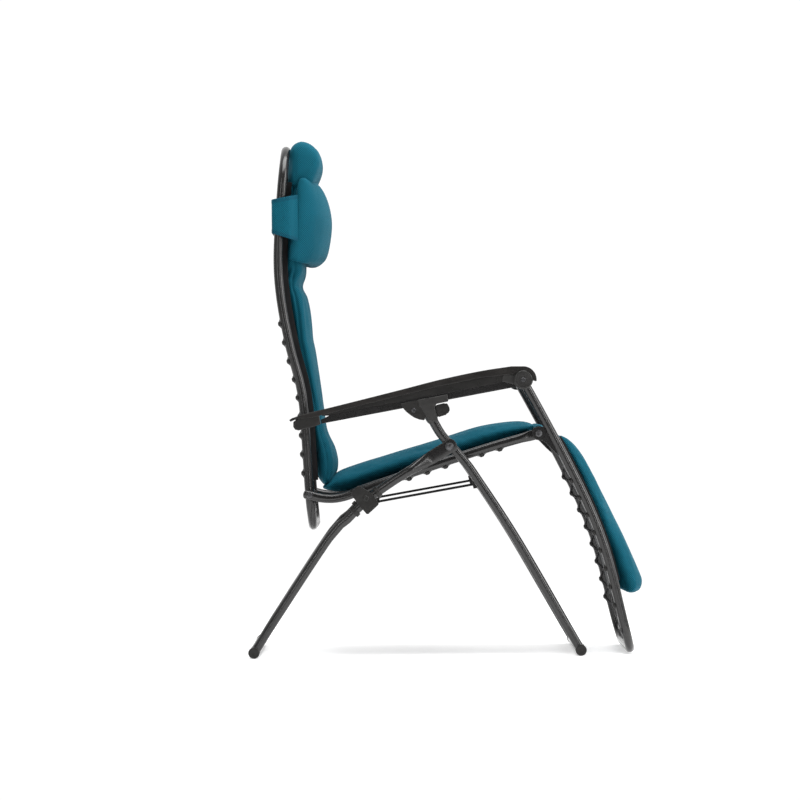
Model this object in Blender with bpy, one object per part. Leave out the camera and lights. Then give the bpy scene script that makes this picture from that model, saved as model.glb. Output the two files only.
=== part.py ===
"""Zero gravity recliner: bent tube legs in an X, a laced and padded cover and a folding linkage.

The chair faces +X and stands on z = 0. Sizes are in millimetres and become metres as meshes are made.
The right side of the chair is at -Y, the left side at +Y. Both sides are built by the same functions.
"""

import math

import bmesh
import bpy
from mathutils import Vector

MM = 0.001
GAP = 0.4

# Moves the side view's x so that x = 0 is the middle of the chair's length
CENTRE_X = 4.2

# Tubes and wires
TUBE_R = 10.0
TUBE_SIDES = 12
BAR_R = 11.0
WIRE_R = 2.3
PIN_R = 4.0
HOLE_R = 4.6

# Lateral planes of the tubes, measured from the middle of the chair
BACK_Y = 232.0
SEAT_Y = 256.0
LEGREST_Y = 276.0
WIRE_Y = 279.0
FRONT_LEG_Y = 296.0
REAR_LEG_Y = 318.0
ARM_INNER_Y = 288.5
ARM_OUTER_Y = 336.0
PAD_HALF_WIDTH = 205.0

# Pivots of the linkage in side view, x and z
LEG_PIVOT = (4.0, 461.5)
SEAT_PIVOT = (-180.0, 349.0)
BACK_PIVOT = (-305.0, 356.0)
KNEE_PIVOT = (200.5, 488.0)
ARM_REAR_PIVOT = (-314.0, 519.5)
ARM_FRONT_PIVOT = (166.0, 606.5)
WIRE_PIVOT = (61.5, 378.5)

# Feet
FOOT_R = 12.5
FOOT_SIDES = 24
FOOT_Z = FOOT_R * math.cos(math.pi / FOOT_SIDES)
REAR_FOOT_X = -428.0
FRONT_FOOT_X = 289.0
CAP_LENGTH = 6.0

# Side view centrelines, x and z
REAR_LEG = [(-427, 13), (-382, 84), (-262, 263), (-222, 303), (-180, 344), (-121, 386), (-60, 423),
            (10, 465)]
FRONT_LEG = [(289, 13), (264, 56), (149, 257), (63, 391), (35, 430), (-5, 475), (-24, 497), (-46, 547)]
SEAT_TUBE = [(-313, 358), (-305, 356), (-282, 350), (-260, 348), (-238, 350), (-213, 357), (-180, 370),
             (66, 450), (208, 490)]
BACK_TUBE = [(-298, 288), (-305, 356), (-310, 440), (-320, 577), (-346, 683), (-365, 787), (-371, 880),
             (-363, 1016), (-353, 1119)]
LEGREST_TUBE = [(399, 13), (383, 76), (357, 187), (334, 264), (303, 341), (258, 434), (206, 533),
                (166, 606.5)]
STAY_WIRE_END = (-152.0, 341.5)

# Lacing
LACE_PITCH = 42.0
LACE_R = 1.9
LACE_POINTS = 8
LACE_REACH = 19.0
BACK_LACE_START = 95.9
BACK_LACE_END = 482.0
SLING_THICKNESS = 2.4

# Armrests
ARM_SLOPE = math.atan2(ARM_FRONT_PIVOT[1] - ARM_REAR_PIVOT[1], ARM_FRONT_PIVOT[0] - ARM_REAR_PIVOT[0])
RAIL_INNER_Y = 314.5
RAIL_OUTER_Y = 328.5
HOUSING_INNER_Y = 310.0
HOUSING_OUTER_Y = 333.5
HOOD_R = 29.0
DISC_R = 20.0

SIDES = (("right", -1), ("left", 1))


def material(name, colour, roughness, metallic=0.0):
    """A Principled material with one colour."""
    made = bpy.data.materials.get(name) or bpy.data.materials.new(name)
    made.use_nodes = True
    shader = made.node_tree.nodes["Principled BSDF"]
    shader.inputs["Base Color"].default_value = (*colour, 1)
    shader.inputs["Roughness"].default_value = roughness
    shader.inputs["Metallic"].default_value = metallic
    return made


def steel():
    return material("anthracite_steel", (0.055, 0.058, 0.06), 0.38, 0.3)


def bright_steel():
    return material("zinc_steel", (0.3, 0.3, 0.31), 0.35, 0.9)


def plastic():
    return material("black_plastic", (0.03, 0.028, 0.026), 0.5)


def fabric():
    return material("teal_mesh", (0.02, 0.13, 0.18), 0.9)


def webbing():
    return material("black_webbing", (0.02, 0.02, 0.022), 0.85)


def finish_object(name, mesh_data, finish, smooth=True):
    """Turns a bmesh in millimetres into a named object in metres."""
    bmesh.ops.translate(mesh_data, vec=(CENTRE_X, 0, 0), verts=mesh_data.verts)
    bmesh.ops.scale(mesh_data, vec=(MM, MM, MM), verts=mesh_data.verts)
    bmesh.ops.recalc_face_normals(mesh_data, faces=mesh_data.faces)
    mesh = bpy.data.meshes.new(name)
    mesh_data.to_mesh(mesh)
    mesh_data.free()
    mesh.materials.append(finish)
    if smooth:
        mesh.shade_smooth()
        mesh.set_sharp_from_angle(angle=math.radians(35))
    obj = bpy.data.objects.new(name, mesh)
    bpy.context.scene.collection.objects.link(obj)
    return obj


def set_origin(obj, pivot, y=0.0):
    """Moves the object's origin on to its joint's axis and leaves its shape where it is."""
    place = Vector((pivot[0] + CENTRE_X, y, pivot[1])) * MM
    for vertex in obj.data.vertices:
        vertex.co -= place
    obj.location = place


def smooth_curve(points, step):
    """Points about one step apart on a Catmull-Rom curve through the given side view points."""
    knots = [Vector(p) for p in points]
    ends = [2 * knots[0] - knots[1], *knots, 2 * knots[-1] - knots[-2]]
    line = []
    for a, b, c, d in zip(ends, ends[1:], ends[2:], ends[3:]):
        count = max(1, round((c - b).length / step))
        for i in range(count):
            t = i / count
            line.append(0.5 * (2 * b + (c - a) * t + (2 * a - 5 * b + 4 * c - d) * t * t
                               + (3 * b - a - 3 * c + d) * t ** 3))
    line.append(knots[-1])
    return line


def point_along(line, distance):
    """The point at a distance along a polyline, and the direction there."""
    for a, b in zip(line, line[1:]):
        length = (b - a).length
        if distance <= length or b is line[-1]:
            return a + (b - a) * (distance / length), (b - a).normalized()
        distance -= length


def line_length(line):
    return sum((b - a).length for a, b in zip(line, line[1:]))


def in_plane(line, y):
    """Side view points as 3-D points in one lateral plane."""
    return [Vector((p[0], y, p[1])) for p in line]


def sweep(mesh_data, path, half_sizes=None, closed=False, sides=TUBE_SIDES):
    """Sweeps an ellipse along a path. half_sizes gives each station's half width across the path
    and half depth, and a round tube needs none."""
    count = len(path)
    rings = []
    across = None
    for i, point in enumerate(path):
        before = path[i - 1] if i or closed else point
        after = path[(i + 1) % count] if i < count - 1 or closed else point
        tangent = (after - before).normalized()
        if across is None:
            guide = Vector((0, 1, 0)) if abs(tangent.y) < 0.9 else Vector((0, 0, 1))
            across = guide.cross(tangent).normalized()
        across = (across - tangent * across.dot(tangent)).normalized()
        depth = tangent.cross(across)
        width, thick = half_sizes[i] if half_sizes else (TUBE_R, TUBE_R)
        ring = []
        for k in range(sides):
            angle = math.tau * (k + 0.5) / sides
            offset = across * (width * math.cos(angle)) + depth * (thick * math.sin(angle))
            ring.append(mesh_data.verts.new(point + offset))
        rings.append(ring)
    pairs = list(zip(rings, rings[1:]))
    if closed:
        pairs.append((rings[-1], rings[0]))
    else:
        mesh_data.faces.new(rings[0])
        mesh_data.faces.new(reversed(rings[-1]))
    for low, high in pairs:
        for k in range(sides):
            n = (k + 1) % sides
            mesh_data.faces.new((low[k], low[n], high[n], high[k]))


def add_cylinder(mesh_data, centre, radius, y_from, y_to, sides=16):
    """A solid cylinder along Y between two lateral planes."""
    rings = []
    for y in (y_from, y_to):
        ring = []
        for k in range(sides):
            angle = math.tau * (k + 0.5) / sides
            place = (centre[0] + radius * math.cos(angle), y, centre[1] + radius * math.sin(angle))
            ring.append(mesh_data.verts.new(place))
        rings.append(ring)
    mesh_data.faces.new(rings[0])
    mesh_data.faces.new(reversed(rings[1]))
    for k in range(sides):
        n = (k + 1) % sides
        mesh_data.faces.new((rings[0][k], rings[1][k], rings[1][n], rings[0][n]))


def add_turned(mesh_data, centre, profile, side, sides=12):
    """A solid turned about Y: profile lists radius and distance from the middle of the chair."""
    rings = []
    for radius, y in profile:
        ring = []
        for k in range(sides):
            angle = math.tau * (k + 0.5) / sides
            place = (centre[0] + radius * math.cos(angle), side * y, centre[1] + radius * math.sin(angle))
            ring.append(mesh_data.verts.new(place))
        rings.append(ring)
    mesh_data.faces.new(rings[0])
    mesh_data.faces.new(reversed(rings[-1]))
    for low, high in zip(rings, rings[1:]):
        for k in range(sides):
            n = (k + 1) % sides
            mesh_data.faces.new((low[k], low[n], high[n], high[k]))


def add_plate(mesh_data, outline, y_from, y_to, edge=0.0):
    """Extrudes a side view outline between two lateral planes, with chamfered rims of the given size."""
    middle = Vector((sum(p[0] for p in outline), sum(p[1] for p in outline))) / len(outline)
    low, high = sorted((y_from, y_to))
    levels = [(low, 0.0), (high, 0.0)]
    if edge:
        levels = [(low, edge), (low + edge, 0.0), (high - edge, 0.0), (high, edge)]
    rings = []
    for y, inset in levels:
        ring = []
        for p in outline:
            inward = middle - Vector(p)
            moved = Vector(p) + inward.normalized() * min(inset, inward.length / 3)
            ring.append(mesh_data.verts.new((moved.x, y, moved.y)))
        rings.append(ring)
    mesh_data.faces.new(rings[0])
    mesh_data.faces.new(reversed(rings[-1]))
    for first, second in zip(rings, rings[1:]):
        for k in range(len(outline)):
            n = (k + 1) % len(outline)
            mesh_data.faces.new((first[k], first[n], second[n], second[k]))


def cutter(name, build):
    """An object that only cuts others."""
    mesh_data = bmesh.new()
    build(mesh_data)
    obj = finish_object("cut_" + name, mesh_data, steel(), smooth=False)
    obj.hide_render = True
    obj.display_type = "WIRE"
    return obj


def apply_boolean(obj, other, operation="DIFFERENCE"):
    change = obj.modifiers.new(operation.lower(), "BOOLEAN")
    change.operation = operation
    change.solver = "EXACT"
    change.object = other


def drill(obj, centre, y_from, y_to, radius=HOLE_R):
    """Cuts a round hole along Y."""
    hole = cutter(
        f"{obj.name}_{round(centre[0])}_{round(centre[1])}",
        lambda m: add_cylinder(m, centre, radius, min(y_from, y_to), max(y_from, y_to)),
    )
    apply_boolean(obj, hole)


def single(name, finish, build, smooth=True):
    """A named object whose bmesh is filled by build."""
    mesh_data = bmesh.new()
    build(mesh_data)
    return finish_object(name, mesh_data, finish, smooth)


def turned(name, finish, centre, profile, side, sides=12):
    """One object turned about Y, such as a bolt, pin or cap."""
    return single(name, finish, lambda m: add_turned(m, centre, profile, side, sides))


def flattened(path, start, width, depth, side_shift):
    """Half sizes and shifted path of a tube whose last stretch is pressed flat."""
    count = len(path)
    sizes = []
    moved = []
    for i, point in enumerate(path):
        t = min(1.0, max(0.0, (i / (count - 1) - start) / (0.6 * (1 - start))))
        t = t * t * (3 - 2 * t)
        sizes.append((TUBE_R + (width - TUBE_R) * t, TUBE_R + (depth - TUBE_R) * t))
        moved.append(point + Vector((0, side_shift * t, 0)))
    return moved, sizes


def crossbar(name, x, half_length):
    """A tube on the floor that joins two legs."""
    return single(name, steel(), lambda m: add_cylinder(m, (x, FOOT_Z), BAR_R, -half_length, half_length))


def foot_cap(name, x, half_length, side):
    """Plastic plug with a flange that stands on the floor, at one end of a crossbar."""
    face = half_length + GAP
    profile = [(FOOT_R - 1.5, face), (FOOT_R, face + 1.5), (FOOT_R, face + CAP_LENGTH - 2),
               (FOOT_R - 3, face + CAP_LENGTH)]
    return turned(name, plastic(), (x, FOOT_Z), profile, side, sides=FOOT_SIDES)


def rear_leg(label, side):
    """Bent tube from the rear crossbar to its flattened end on the outside of the front leg."""
    path = in_plane(smooth_curve(REAR_LEG, 24), side * REAR_LEG_Y)
    lug_y = FRONT_LEG_Y + TUBE_R + 2.6
    path, sizes = flattened(path, 0.84, 15.0, 2.0, side * (lug_y - REAR_LEG_Y))
    leg = single(f"rear_leg_{label}", steel(), lambda m: sweep(m, path, sizes))
    cope(leg, REAR_FOOT_X)
    drill(leg, LEG_PIVOT, side * 300, side * 330)
    return leg


def front_leg(label, side):
    """Gently bent tube from the front crossbar to the slider under the armrest."""
    path = in_plane(smooth_curve(FRONT_LEG, 24), side * FRONT_LEG_Y)
    leg = single(f"front_leg_{label}", steel(), lambda m: sweep(m, path))
    cope(leg, FRONT_FOOT_X)
    drill(leg, LEG_PIVOT, side * 280, side * 312)
    return leg


def cope(leg, foot_x):
    """Cuts the foot of a leg to the round of its crossbar, where it is welded."""
    bar = cutter(f"{leg.name}_cope", lambda m: add_cylinder(m, (foot_x, FOOT_Z), BAR_R + GAP, -345, 345))
    apply_boolean(leg, bar)


def leg_pivot_rivet(label, side):
    """Rivet that joins the legs, with a domed head outside and a small one inside."""
    inner = FRONT_LEG_Y - TUBE_R - GAP
    outer = FRONT_LEG_Y + TUBE_R + 4.6 + GAP
    profile = [(4, inner - 2.5), (6.5, inner - 1), (6.5, inner), (PIN_R, inner), (PIN_R, outer),
               (8.5, outer), (8.0, outer + 2), (4, outer + 3.6)]
    return turned(f"leg_pivot_rivet_{label}", bright_steel(), LEG_PIVOT, profile, side)


def seat_bracket(label, side):
    """Moulded sleeve on the rear leg that carries the seat pivot."""
    outline = [(-212, 361), (-196, 377), (-167, 359), (-152, 338), (-177, 314), (-198, 337)]
    bracket = single(
        f"seat_bracket_{label}", plastic(), lambda m: add_plate(m, outline, side * 303, side * 333, edge=3.0)
    )
    path = in_plane(smooth_curve(REAR_LEG[2:], 24), side * REAR_LEG_Y)
    sleeve = [(TUBE_R + GAP, TUBE_R + GAP)] * len(path)
    apply_boolean(bracket, cutter(f"{bracket.name}_bore", lambda m: sweep(m, path, sleeve)))
    return bracket


def seat_pivot_pin(label, side):
    """Shouldered pin between a leg bracket and the seat's lug."""
    profile = [(5, 241), (7.5, 242.5), (7.5, 246.5), (PIN_R, 246.5), (PIN_R, 263.2), (7, 263.2),
               (7, 301), (6, 302.6)]
    return turned(f"seat_pivot_pin_{label}", bright_steel(), SEAT_PIVOT, profile, side)


def stay_clip(label, side):
    """Small plastic saddle on a front leg that holds the stay wire."""
    outline = [(51, 388), (62, 392), (74, 381), (70, 370), (56, 368)]
    return single(
        f"stay_clip_{label}", plastic(),
        lambda m: add_plate(m, outline, side * 282.2, side * 285.4, edge=0.8),
    )


def stay_wire(label, side):
    """Steel rod that stops the legs spreading, from the front leg to the seat bracket."""
    start = Vector((WIRE_PIVOT[0], side * WIRE_Y, WIRE_PIVOT[1]))
    end = Vector((STAY_WIRE_END[0], side * WIRE_Y, STAY_WIRE_END[1]))
    path = [start.lerp(end, t / 4) for t in range(5)]
    sizes = [(WIRE_R, WIRE_R)] * len(path)
    return single(f"stay_wire_{label}", steel(), lambda m: sweep(m, path, sizes, sides=8))


def leg_top_socket(label, side):
    """Moulded sleeve on the top of a front leg."""
    path = in_plane(smooth_curve([(-27, 505), (-35, 522), (-47, 549)], 10), side * FRONT_LEG_Y)
    sizes = [(12.5, 12.0)] * len(path)
    sizes[0] = (11.2, 11.2)
    socket = single(f"leg_top_socket_{label}", plastic(), lambda m: sweep(m, path, sizes, sides=14))
    inner = in_plane(smooth_curve(FRONT_LEG, 24), side * FRONT_LEG_Y)
    sleeve = [(TUBE_R + GAP, TUBE_R + GAP)] * len(inner)
    apply_boolean(socket, cutter(f"{socket.name}_bore", lambda m: sweep(m, inner, sleeve)))
    return socket


def seat_tube(label, side):
    """Side tube of the seat: a bow at the rear hinge and a flattened end at the knee hinge."""
    path = in_plane(smooth_curve(SEAT_TUBE, 20), side * SEAT_Y)
    path, sizes = flattened(path, 0.9, 11.5, 2.4, side * 3.0)
    sizes[0] = (7.5, 9.0)
    tube = single(f"seat_tube_{label}", steel(), lambda m: sweep(m, path, sizes))
    lug = [(-196, 345), (-190, 338), (-180, 335.5), (-170, 338), (-164, 345), (-160, 372), (-200, 358)]
    plate = cutter(f"{tube.name}_lug", lambda m: add_plate(m, lug, side * 248.5, side * 262.6))
    apply_boolean(tube, plate, "UNION")
    drill(tube, SEAT_PIVOT, side * 240, side * 272)
    drill(tube, BACK_PIVOT, side * 240, side * 272)
    drill(tube, KNEE_PIVOT, side * 245, side * 272)
    return tube


def cross_tube(name, centre, half_length, radius):
    """Round tube between the seat's sides."""
    return single(
        name, steel(), lambda m: add_cylinder(m, centre, radius, -half_length, half_length, sides=12)
    )


def frame_path(side_line, half_width, low_radius, high_radius=None):
    """Path of a bent tube frame: up one side, across the top if it is closed, and back along the bottom.
    side_line runs from the bottom to the top in side view."""
    line = smooth_curve(side_line, 26)
    total = line_length(line)

    def at(distance, y):
        point, _ = point_along(line, distance)
        return Vector((point.x, y, point.y))

    half = []
    arc = 5
    for i in range(arc):
        turn = math.pi / 2 * i / arc
        half.append(at(low_radius * (1 - math.cos(turn)), low_radius * (1 - math.sin(turn)) - half_width))
    top = total - (high_radius or 0.0)
    steps = round((top - low_radius) / 30)
    for i in range(steps + 1):
        half.append(at(low_radius + (top - low_radius) * i / steps, -half_width))
    if high_radius:
        for i in range(1, arc + 1):
            turn = math.pi / 2 * i / arc
            inward = high_radius * (1 - math.cos(turn))
            half.append(at(top + high_radius * math.sin(turn), inward - half_width))
    other = [Vector((p.x, -p.y, p.z)) for p in half]
    if high_radius:
        return half + other[::-1]
    return half[::-1] + other


def backrest_frame():
    """One closed loop of tube with rounded corners."""
    path = frame_path(BACK_TUBE, BACK_Y, 60, 90)
    frame = single("backrest_frame", steel(), lambda m: sweep(m, path, closed=True))
    for _, side in SIDES:
        drill(frame, BACK_PIVOT, side * 215, side * 248)
        drill(frame, ARM_REAR_PIVOT, side * 215, side * 248)
    return frame


def legrest_frame():
    """A U of tube, open at the top, with plates welded behind it that reach back to the knee hinge."""
    path = frame_path(LEGREST_TUBE, LEGREST_Y, 55)
    frame = single("legrest_frame", steel(), lambda m: sweep(m, path))
    gusset = [(186, 495), (194, 502), (212, 503), (234, 490), (256, 446), (250, 434), (215, 470), (195, 474),
              (187, 481)]
    for label, side in SIDES:
        plate = cutter(f"gusset_{label}", lambda m: add_plate(m, gusset, side * 273.5, side * 278.5))
        apply_boolean(frame, plate, "UNION")
    for _, side in SIDES:
        drill(frame, KNEE_PIVOT, side * 268, side * 284)
    return frame


def back_hinge_bolt(label, side):
    """Bolt between the backrest frame and the rear end of a seat tube."""
    inner = BACK_Y - TUBE_R - GAP
    outer = SEAT_Y + TUBE_R + GAP
    profile = [(4, inner - 3), (6.5, inner - 2), (6.5, inner), (PIN_R, inner), (PIN_R, outer), (7.5, outer),
               (7, outer + 1.6), (4, outer + 3)]
    return turned(f"back_hinge_bolt_{label}", bright_steel(), BACK_PIVOT, profile, side)


def knee_hinge_bolt(label, side):
    """Shouldered bolt between the front end of a seat tube and the legrest's plate."""
    profile = [(4, 252), (7, 253.5), (7, 256.2), (PIN_R, 256.2), (PIN_R, 262), (6.5, 262), (6.5, 273.1),
               (PIN_R, 273.1), (PIN_R, 278.9), (8, 278.9), (7.5, 281.5), (4, 282.6)]
    return turned(f"knee_hinge_bolt_{label}", bright_steel(), KNEE_PIVOT, profile, side)


def armrest_rear_bolt(label, side):
    """Bolt with a spacer between the backrest frame and an armrest's end cap."""
    inner = BACK_Y - TUBE_R - GAP
    outer = BACK_Y + TUBE_R + GAP
    profile = [(4, inner - 3), (6.5, inner - 2), (6.5, inner), (PIN_R, inner), (PIN_R, outer), (7, outer),
               (7, ARM_INNER_Y - 0.2 - GAP), (PIN_R, ARM_INNER_Y - 0.2 - GAP), (PIN_R, 304)]
    return turned(f"armrest_rear_bolt_{label}", bright_steel(), ARM_REAR_PIVOT, profile, side)


def along_arm(distance, height):
    """A side view point at a distance along the armrest from its rear pivot and a height above that line."""
    return (
        ARM_REAR_PIVOT[0] + distance * math.cos(ARM_SLOPE) - height * math.sin(ARM_SLOPE),
        ARM_REAR_PIVOT[1] + distance * math.sin(ARM_SLOPE) + height * math.cos(ARM_SLOPE),
    )


def arc_points(centre, radius, start, end, count):
    """Points on an arc in side view, angles in degrees."""
    points = []
    for i in range(count + 1):
        angle = math.radians(start + (end - start) * i / count)
        points.append((centre[0] + radius * math.cos(angle), centre[1] + radius * math.sin(angle)))
    return points


def armrest(label, side):
    """Moulded armrest: an arched top with a round hood over the front pivot."""
    crest = [(-347, 522), (-324, 532), (-214, 559), (-104, 586), (-16, 608), (72, 626), (140, 636)]
    top = smooth_curve(crest, 45)
    hood = arc_points(ARM_FRONT_PIVOT, HOOD_R, 88, -85, 12)
    under = [along_arm(448, -2), (130, 600), along_arm(300, 14.5), along_arm(200, 12.5), along_arm(60, 8.5),
             along_arm(-14, 8.2), along_arm(-30, 4)]
    outline = [tuple(p) for p in top] + hood + under
    return single(
        f"armrest_{label}", plastic(),
        lambda m: add_plate(m, outline, side * ARM_INNER_Y, side * ARM_OUTER_Y, edge=4.0),
    )


def armrest_rail(label, side):
    """Guide rail under the armrest, parallel to the slider's travel."""
    outline = [along_arm(36, -12.8), along_arm(446, -12.8), along_arm(446, -3), along_arm(300, -1),
               along_arm(36, -1)]
    return single(
        f"armrest_rail_{label}", steel(),
        lambda m: add_plate(m, outline, side * RAIL_INNER_Y, side * RAIL_OUTER_Y),
        smooth=False,
    )


def armrest_end_cap(label, side):
    """Block under the rear of the armrest that holds its rear bolt."""
    outline = [along_arm(-24, 2.5), along_arm(-25, -12), along_arm(-16, -18), along_arm(20, -16),
               along_arm(34, -12.8), along_arm(34, 7.2), along_arm(-13, 7.4)]
    cap = single(
        f"armrest_end_cap_{label}", plastic(),
        lambda m: add_plate(m, outline, side * ARM_INNER_Y, side * 334, edge=2.5),
    )
    drill(cap, ARM_REAR_PIVOT, side * 280, side * 306)
    return cap


def pivot_disc(label, side):
    """Round cover and bolt head on the outside of the armrest's hood."""
    face = ARM_OUTER_Y + GAP
    profile = [(DISC_R, face), (DISC_R, face + 1.2), (DISC_R - 2, face + 2), (6, face + 2),
               (5.5, face + 3.6), (3, face + 4)]
    return turned(f"armrest_pivot_disc_{label}", plastic(), ARM_FRONT_PIVOT, profile, side, sides=24)


def slider_housing(label, side):
    """Half round housing that rides on the rail above the front leg."""
    outline = [along_arm(220, -0.5), along_arm(218, -14)]
    outline += arc_points(along_arm(254, -14), 31, 200 + math.degrees(ARM_SLOPE), 318, 6)
    outline += [along_arm(286, -17), along_arm(287, -0.5)]
    housing = single(
        f"slider_housing_{label}", plastic(),
        lambda m: add_plate(m, outline, side * HOUSING_INNER_Y, side * HOUSING_OUTER_Y, edge=2.0),
    )
    slot = [along_arm(190, -13.8), along_arm(320, -13.8), along_arm(320, 20), along_arm(190, 20)]
    groove = cutter(f"{housing.name}_slot", lambda m: add_plate(m, slot, side * 313.3, side * 329.7))
    apply_boolean(housing, groove)
    return housing


def lock_lever(label, side):
    """Wedge shaped lever in front of the housing that clamps the slider."""
    outline = [(-30, 549), (-3, 555), (6, 544), (2, 536), (-20, 527), (-30, 530)]
    lever = single(
        f"lock_lever_{label}", plastic(), lambda m: add_plate(m, outline, side * 312, side * 332, edge=2.5)
    )
    set_origin(lever, (-26, 538), side * 322)
    return lever


def lacing(name, line_points, y, side, start, end):
    """Elastic cord wound round one side tube of a frame, drawn in to the sling once each turn."""
    line = smooth_curve(line_points, 12)
    turns = int((end - start) / LACE_PITCH)
    path = []
    for i in range(turns * LACE_POINTS + 1):
        share = i / LACE_POINTS
        point, direction = point_along(line, start + share * LACE_PITCH)
        angle = math.tau * share
        reach = LACE_REACH if i % LACE_POINTS == 0 else TUBE_R + LACE_R + 1.5
        normal = Vector((-direction.y, 0, direction.x))
        inward = Vector((0, -side, 0))
        centre = Vector((point.x, side * y, point.y))
        path.append(centre + inward * (reach * math.cos(angle)) + normal * (reach * math.sin(angle)))
    sizes = [(LACE_R, LACE_R)] * len(path)
    return single(name, webbing(), lambda m: sweep(m, path, sizes, sides=5))


def sling(name, line_points, start, end, half_width, raised=0.0):
    """Thin cloth between the tubes of a frame, following them in side view."""
    line = smooth_curve(line_points, 12)
    steps = max(4, round((end - start) / 60))
    upper = []
    lower = []
    for i in range(steps + 1):
        point, direction = point_along(line, start + (end - start) * i / steps)
        normal = Vector((-direction.y, direction.x))
        upper.append(point + normal * (raised + SLING_THICKNESS / 2))
        lower.append(point + normal * (raised - SLING_THICKNESS / 2))
    outline = [tuple(p) for p in upper + lower[::-1]]

    def build(m):
        add_strip(m, outline, half_width)

    return single(name, webbing(), build)


def add_strip(mesh_data, outline, half_width):
    """Extrudes a thin side view outline across the chair."""
    rings = []
    for y in (-half_width, half_width):
        rings.append([mesh_data.verts.new((p[0], y, p[1])) for p in outline])
    count = len(outline)
    half = count // 2
    for ring in rings:
        for k in range(half - 1):
            mesh_data.faces.new((ring[k], ring[k + 1], ring[count - 2 - k], ring[count - 1 - k]))
    for k in range(count):
        n = (k + 1) % count
        mesh_data.faces.new((rings[0][k], rings[0][n], rings[1][n], rings[1][k]))


def pad(name, outline, half_width=PAD_HALF_WIDTH, edge=10.0):
    """Plain closed solid in the place of a padded cover."""
    return single(name, fabric(), lambda m: add_plate(m, outline, -half_width, half_width, edge))


def seat_pad():
    under = [(-262, 362), (-213, 366), (-180, 380), (66, 459), (150, 486), (203, 499)]
    over = [(206, 507), (192, 512), (157, 511), (106, 505), (55, 494), (-23, 469), (-149, 431), (-194, 417),
            (-238, 401), (-252, 391)]
    return pad("seat_pad", under + over, edge=6.0)


def back_pad():
    rear = [(-280, 379), (-287, 477), (-304, 577), (-330, 687), (-350, 798), (-356, 860), (-357, 920),
            (-350, 1010), (-343, 1060), (-339, 1119)]
    roll = [(-336, 1132), (-327, 1139), (-316, 1141), (-294, 1132), (-277, 1114), (-272, 1096), (-276, 1077),
            (-290, 1058)]
    front = [(-314, 1051), (-315, 950), (-314, 833), (-318, 820), (-312, 808), (-300, 754), (-296, 698),
             (-291, 676), (-272, 548), (-266, 497), (-254, 461), (-252, 428), (-258, 398)]
    return pad("back_pad", rear + roll + front, edge=6.0)


def legrest_pad():
    outline = [(232, 500), (248, 488), (270, 469), (294, 439), (315, 401), (345, 340), (390, 245),
               (428, 158), (432, 146), (428, 132), (415, 124), (396, 126), (380, 138), (376, 150),
               (362, 197), (340, 262), (312, 336), (268, 428), (240, 482)]
    return pad("legrest_pad", outline, edge=6.0)


def head_pillow():
    """Pillow in front of the back pad, with ends that reach back to its strap."""
    body = [(-306, 1046), (-278, 1039), (-256, 1005), (-250, 964), (-254, 920), (-268, 882), (-297, 863),
            (-306, 864)]
    wing = [(-344, 1010), (-300, 1040), (-300, 870), (-344, 884)]
    pillow = single("head_pillow", fabric(), lambda m: add_plate(m, body, -220, 220, 10))
    for label, side in SIDES:
        piece = cutter(f"pillow_{label}", lambda m: add_plate(m, wing, side * 208, side * 219))
        apply_boolean(pillow, piece, "UNION")
    return pillow


def head_strap():
    """Flat band from the ends of the pillow round the back of the frame."""
    low, high = 925.0, 1013.0
    front_x, rear_x = -345.2, -384.5
    outer = [(front_x, 210.0), (front_x, 246.0), (rear_x - 1.5, 246.0)]
    inner = [(front_x - 1.5, 210.0), (front_x - 1.5, 244.5), (rear_x, 244.5)]
    outer_line = outer + [(x, -y) for x, y in outer[::-1]]
    inner_line = inner + [(x, -y) for x, y in inner[::-1]]

    def build(m):
        rings = []
        for z in (low, high):
            rings.append([m.verts.new((x, y, z)) for x, y in outer_line + inner_line[::-1]])
        count = len(rings[0])
        half = count // 2
        for ring in rings:
            for k in range(half - 1):
                m.faces.new((ring[k], ring[k + 1], ring[count - 2 - k], ring[count - 1 - k]))
        for k in range(count):
            n = (k + 1) % count
            m.faces.new((rings[0][k], rings[0][n], rings[1][n], rings[1][k]))

    return single("head_strap", fabric(), build, smooth=False)


def build_legs():
    crossbar("rear_crossbar", REAR_FOOT_X, REAR_LEG_Y + BAR_R)
    crossbar("front_crossbar", FRONT_FOOT_X, FRONT_LEG_Y + BAR_R)
    for label, side in SIDES:
        foot_cap(f"rear_foot_cap_{label}", REAR_FOOT_X, REAR_LEG_Y + BAR_R, side)
        foot_cap(f"front_foot_cap_{label}", FRONT_FOOT_X, FRONT_LEG_Y + BAR_R, side)
        rear_leg(label, side)
        seat_bracket(label, side)
        set_origin(front_leg(label, side), LEG_PIVOT)
        leg_top_socket(label, side)
        set_origin(stay_wire(label, side), WIRE_PIVOT)
        leg_pivot_rivet(label, side)
        stay_clip(label, side)


def build_seat():
    for label, side in SIDES:
        set_origin(seat_pivot_pin(label, side), SEAT_PIVOT)
        set_origin(seat_tube(label, side), SEAT_PIVOT)
    cross_tube("seat_cross_tube", SEAT_PIVOT, 240.5, 8.0)
    cross_tube("knee_cross_tube", KNEE_PIVOT, 251.5, 6.5)
    length = line_length(smooth_curve(SEAT_TUBE, 12))
    sling("seat_sling", SEAT_TUBE, 50, length - 25, 232)
    for label, side in SIDES:
        lacing(f"seat_lacing_{label}", SEAT_TUBE, SEAT_Y, side, 172, length - 60)
    seat_pad()


def build_backrest():
    set_origin(backrest_frame(), BACK_PIVOT)
    length = line_length(smooth_curve(BACK_TUBE, 12))
    sling("back_sling", BACK_TUBE, 95, length - 62, 208)
    for label, side in SIDES:
        set_origin(back_hinge_bolt(label, side), BACK_PIVOT)
        lacing(f"back_lacing_{label}", BACK_TUBE, BACK_Y, side, BACK_LACE_START, BACK_LACE_END)
    back_pad()
    head_pillow()
    head_strap()


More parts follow.
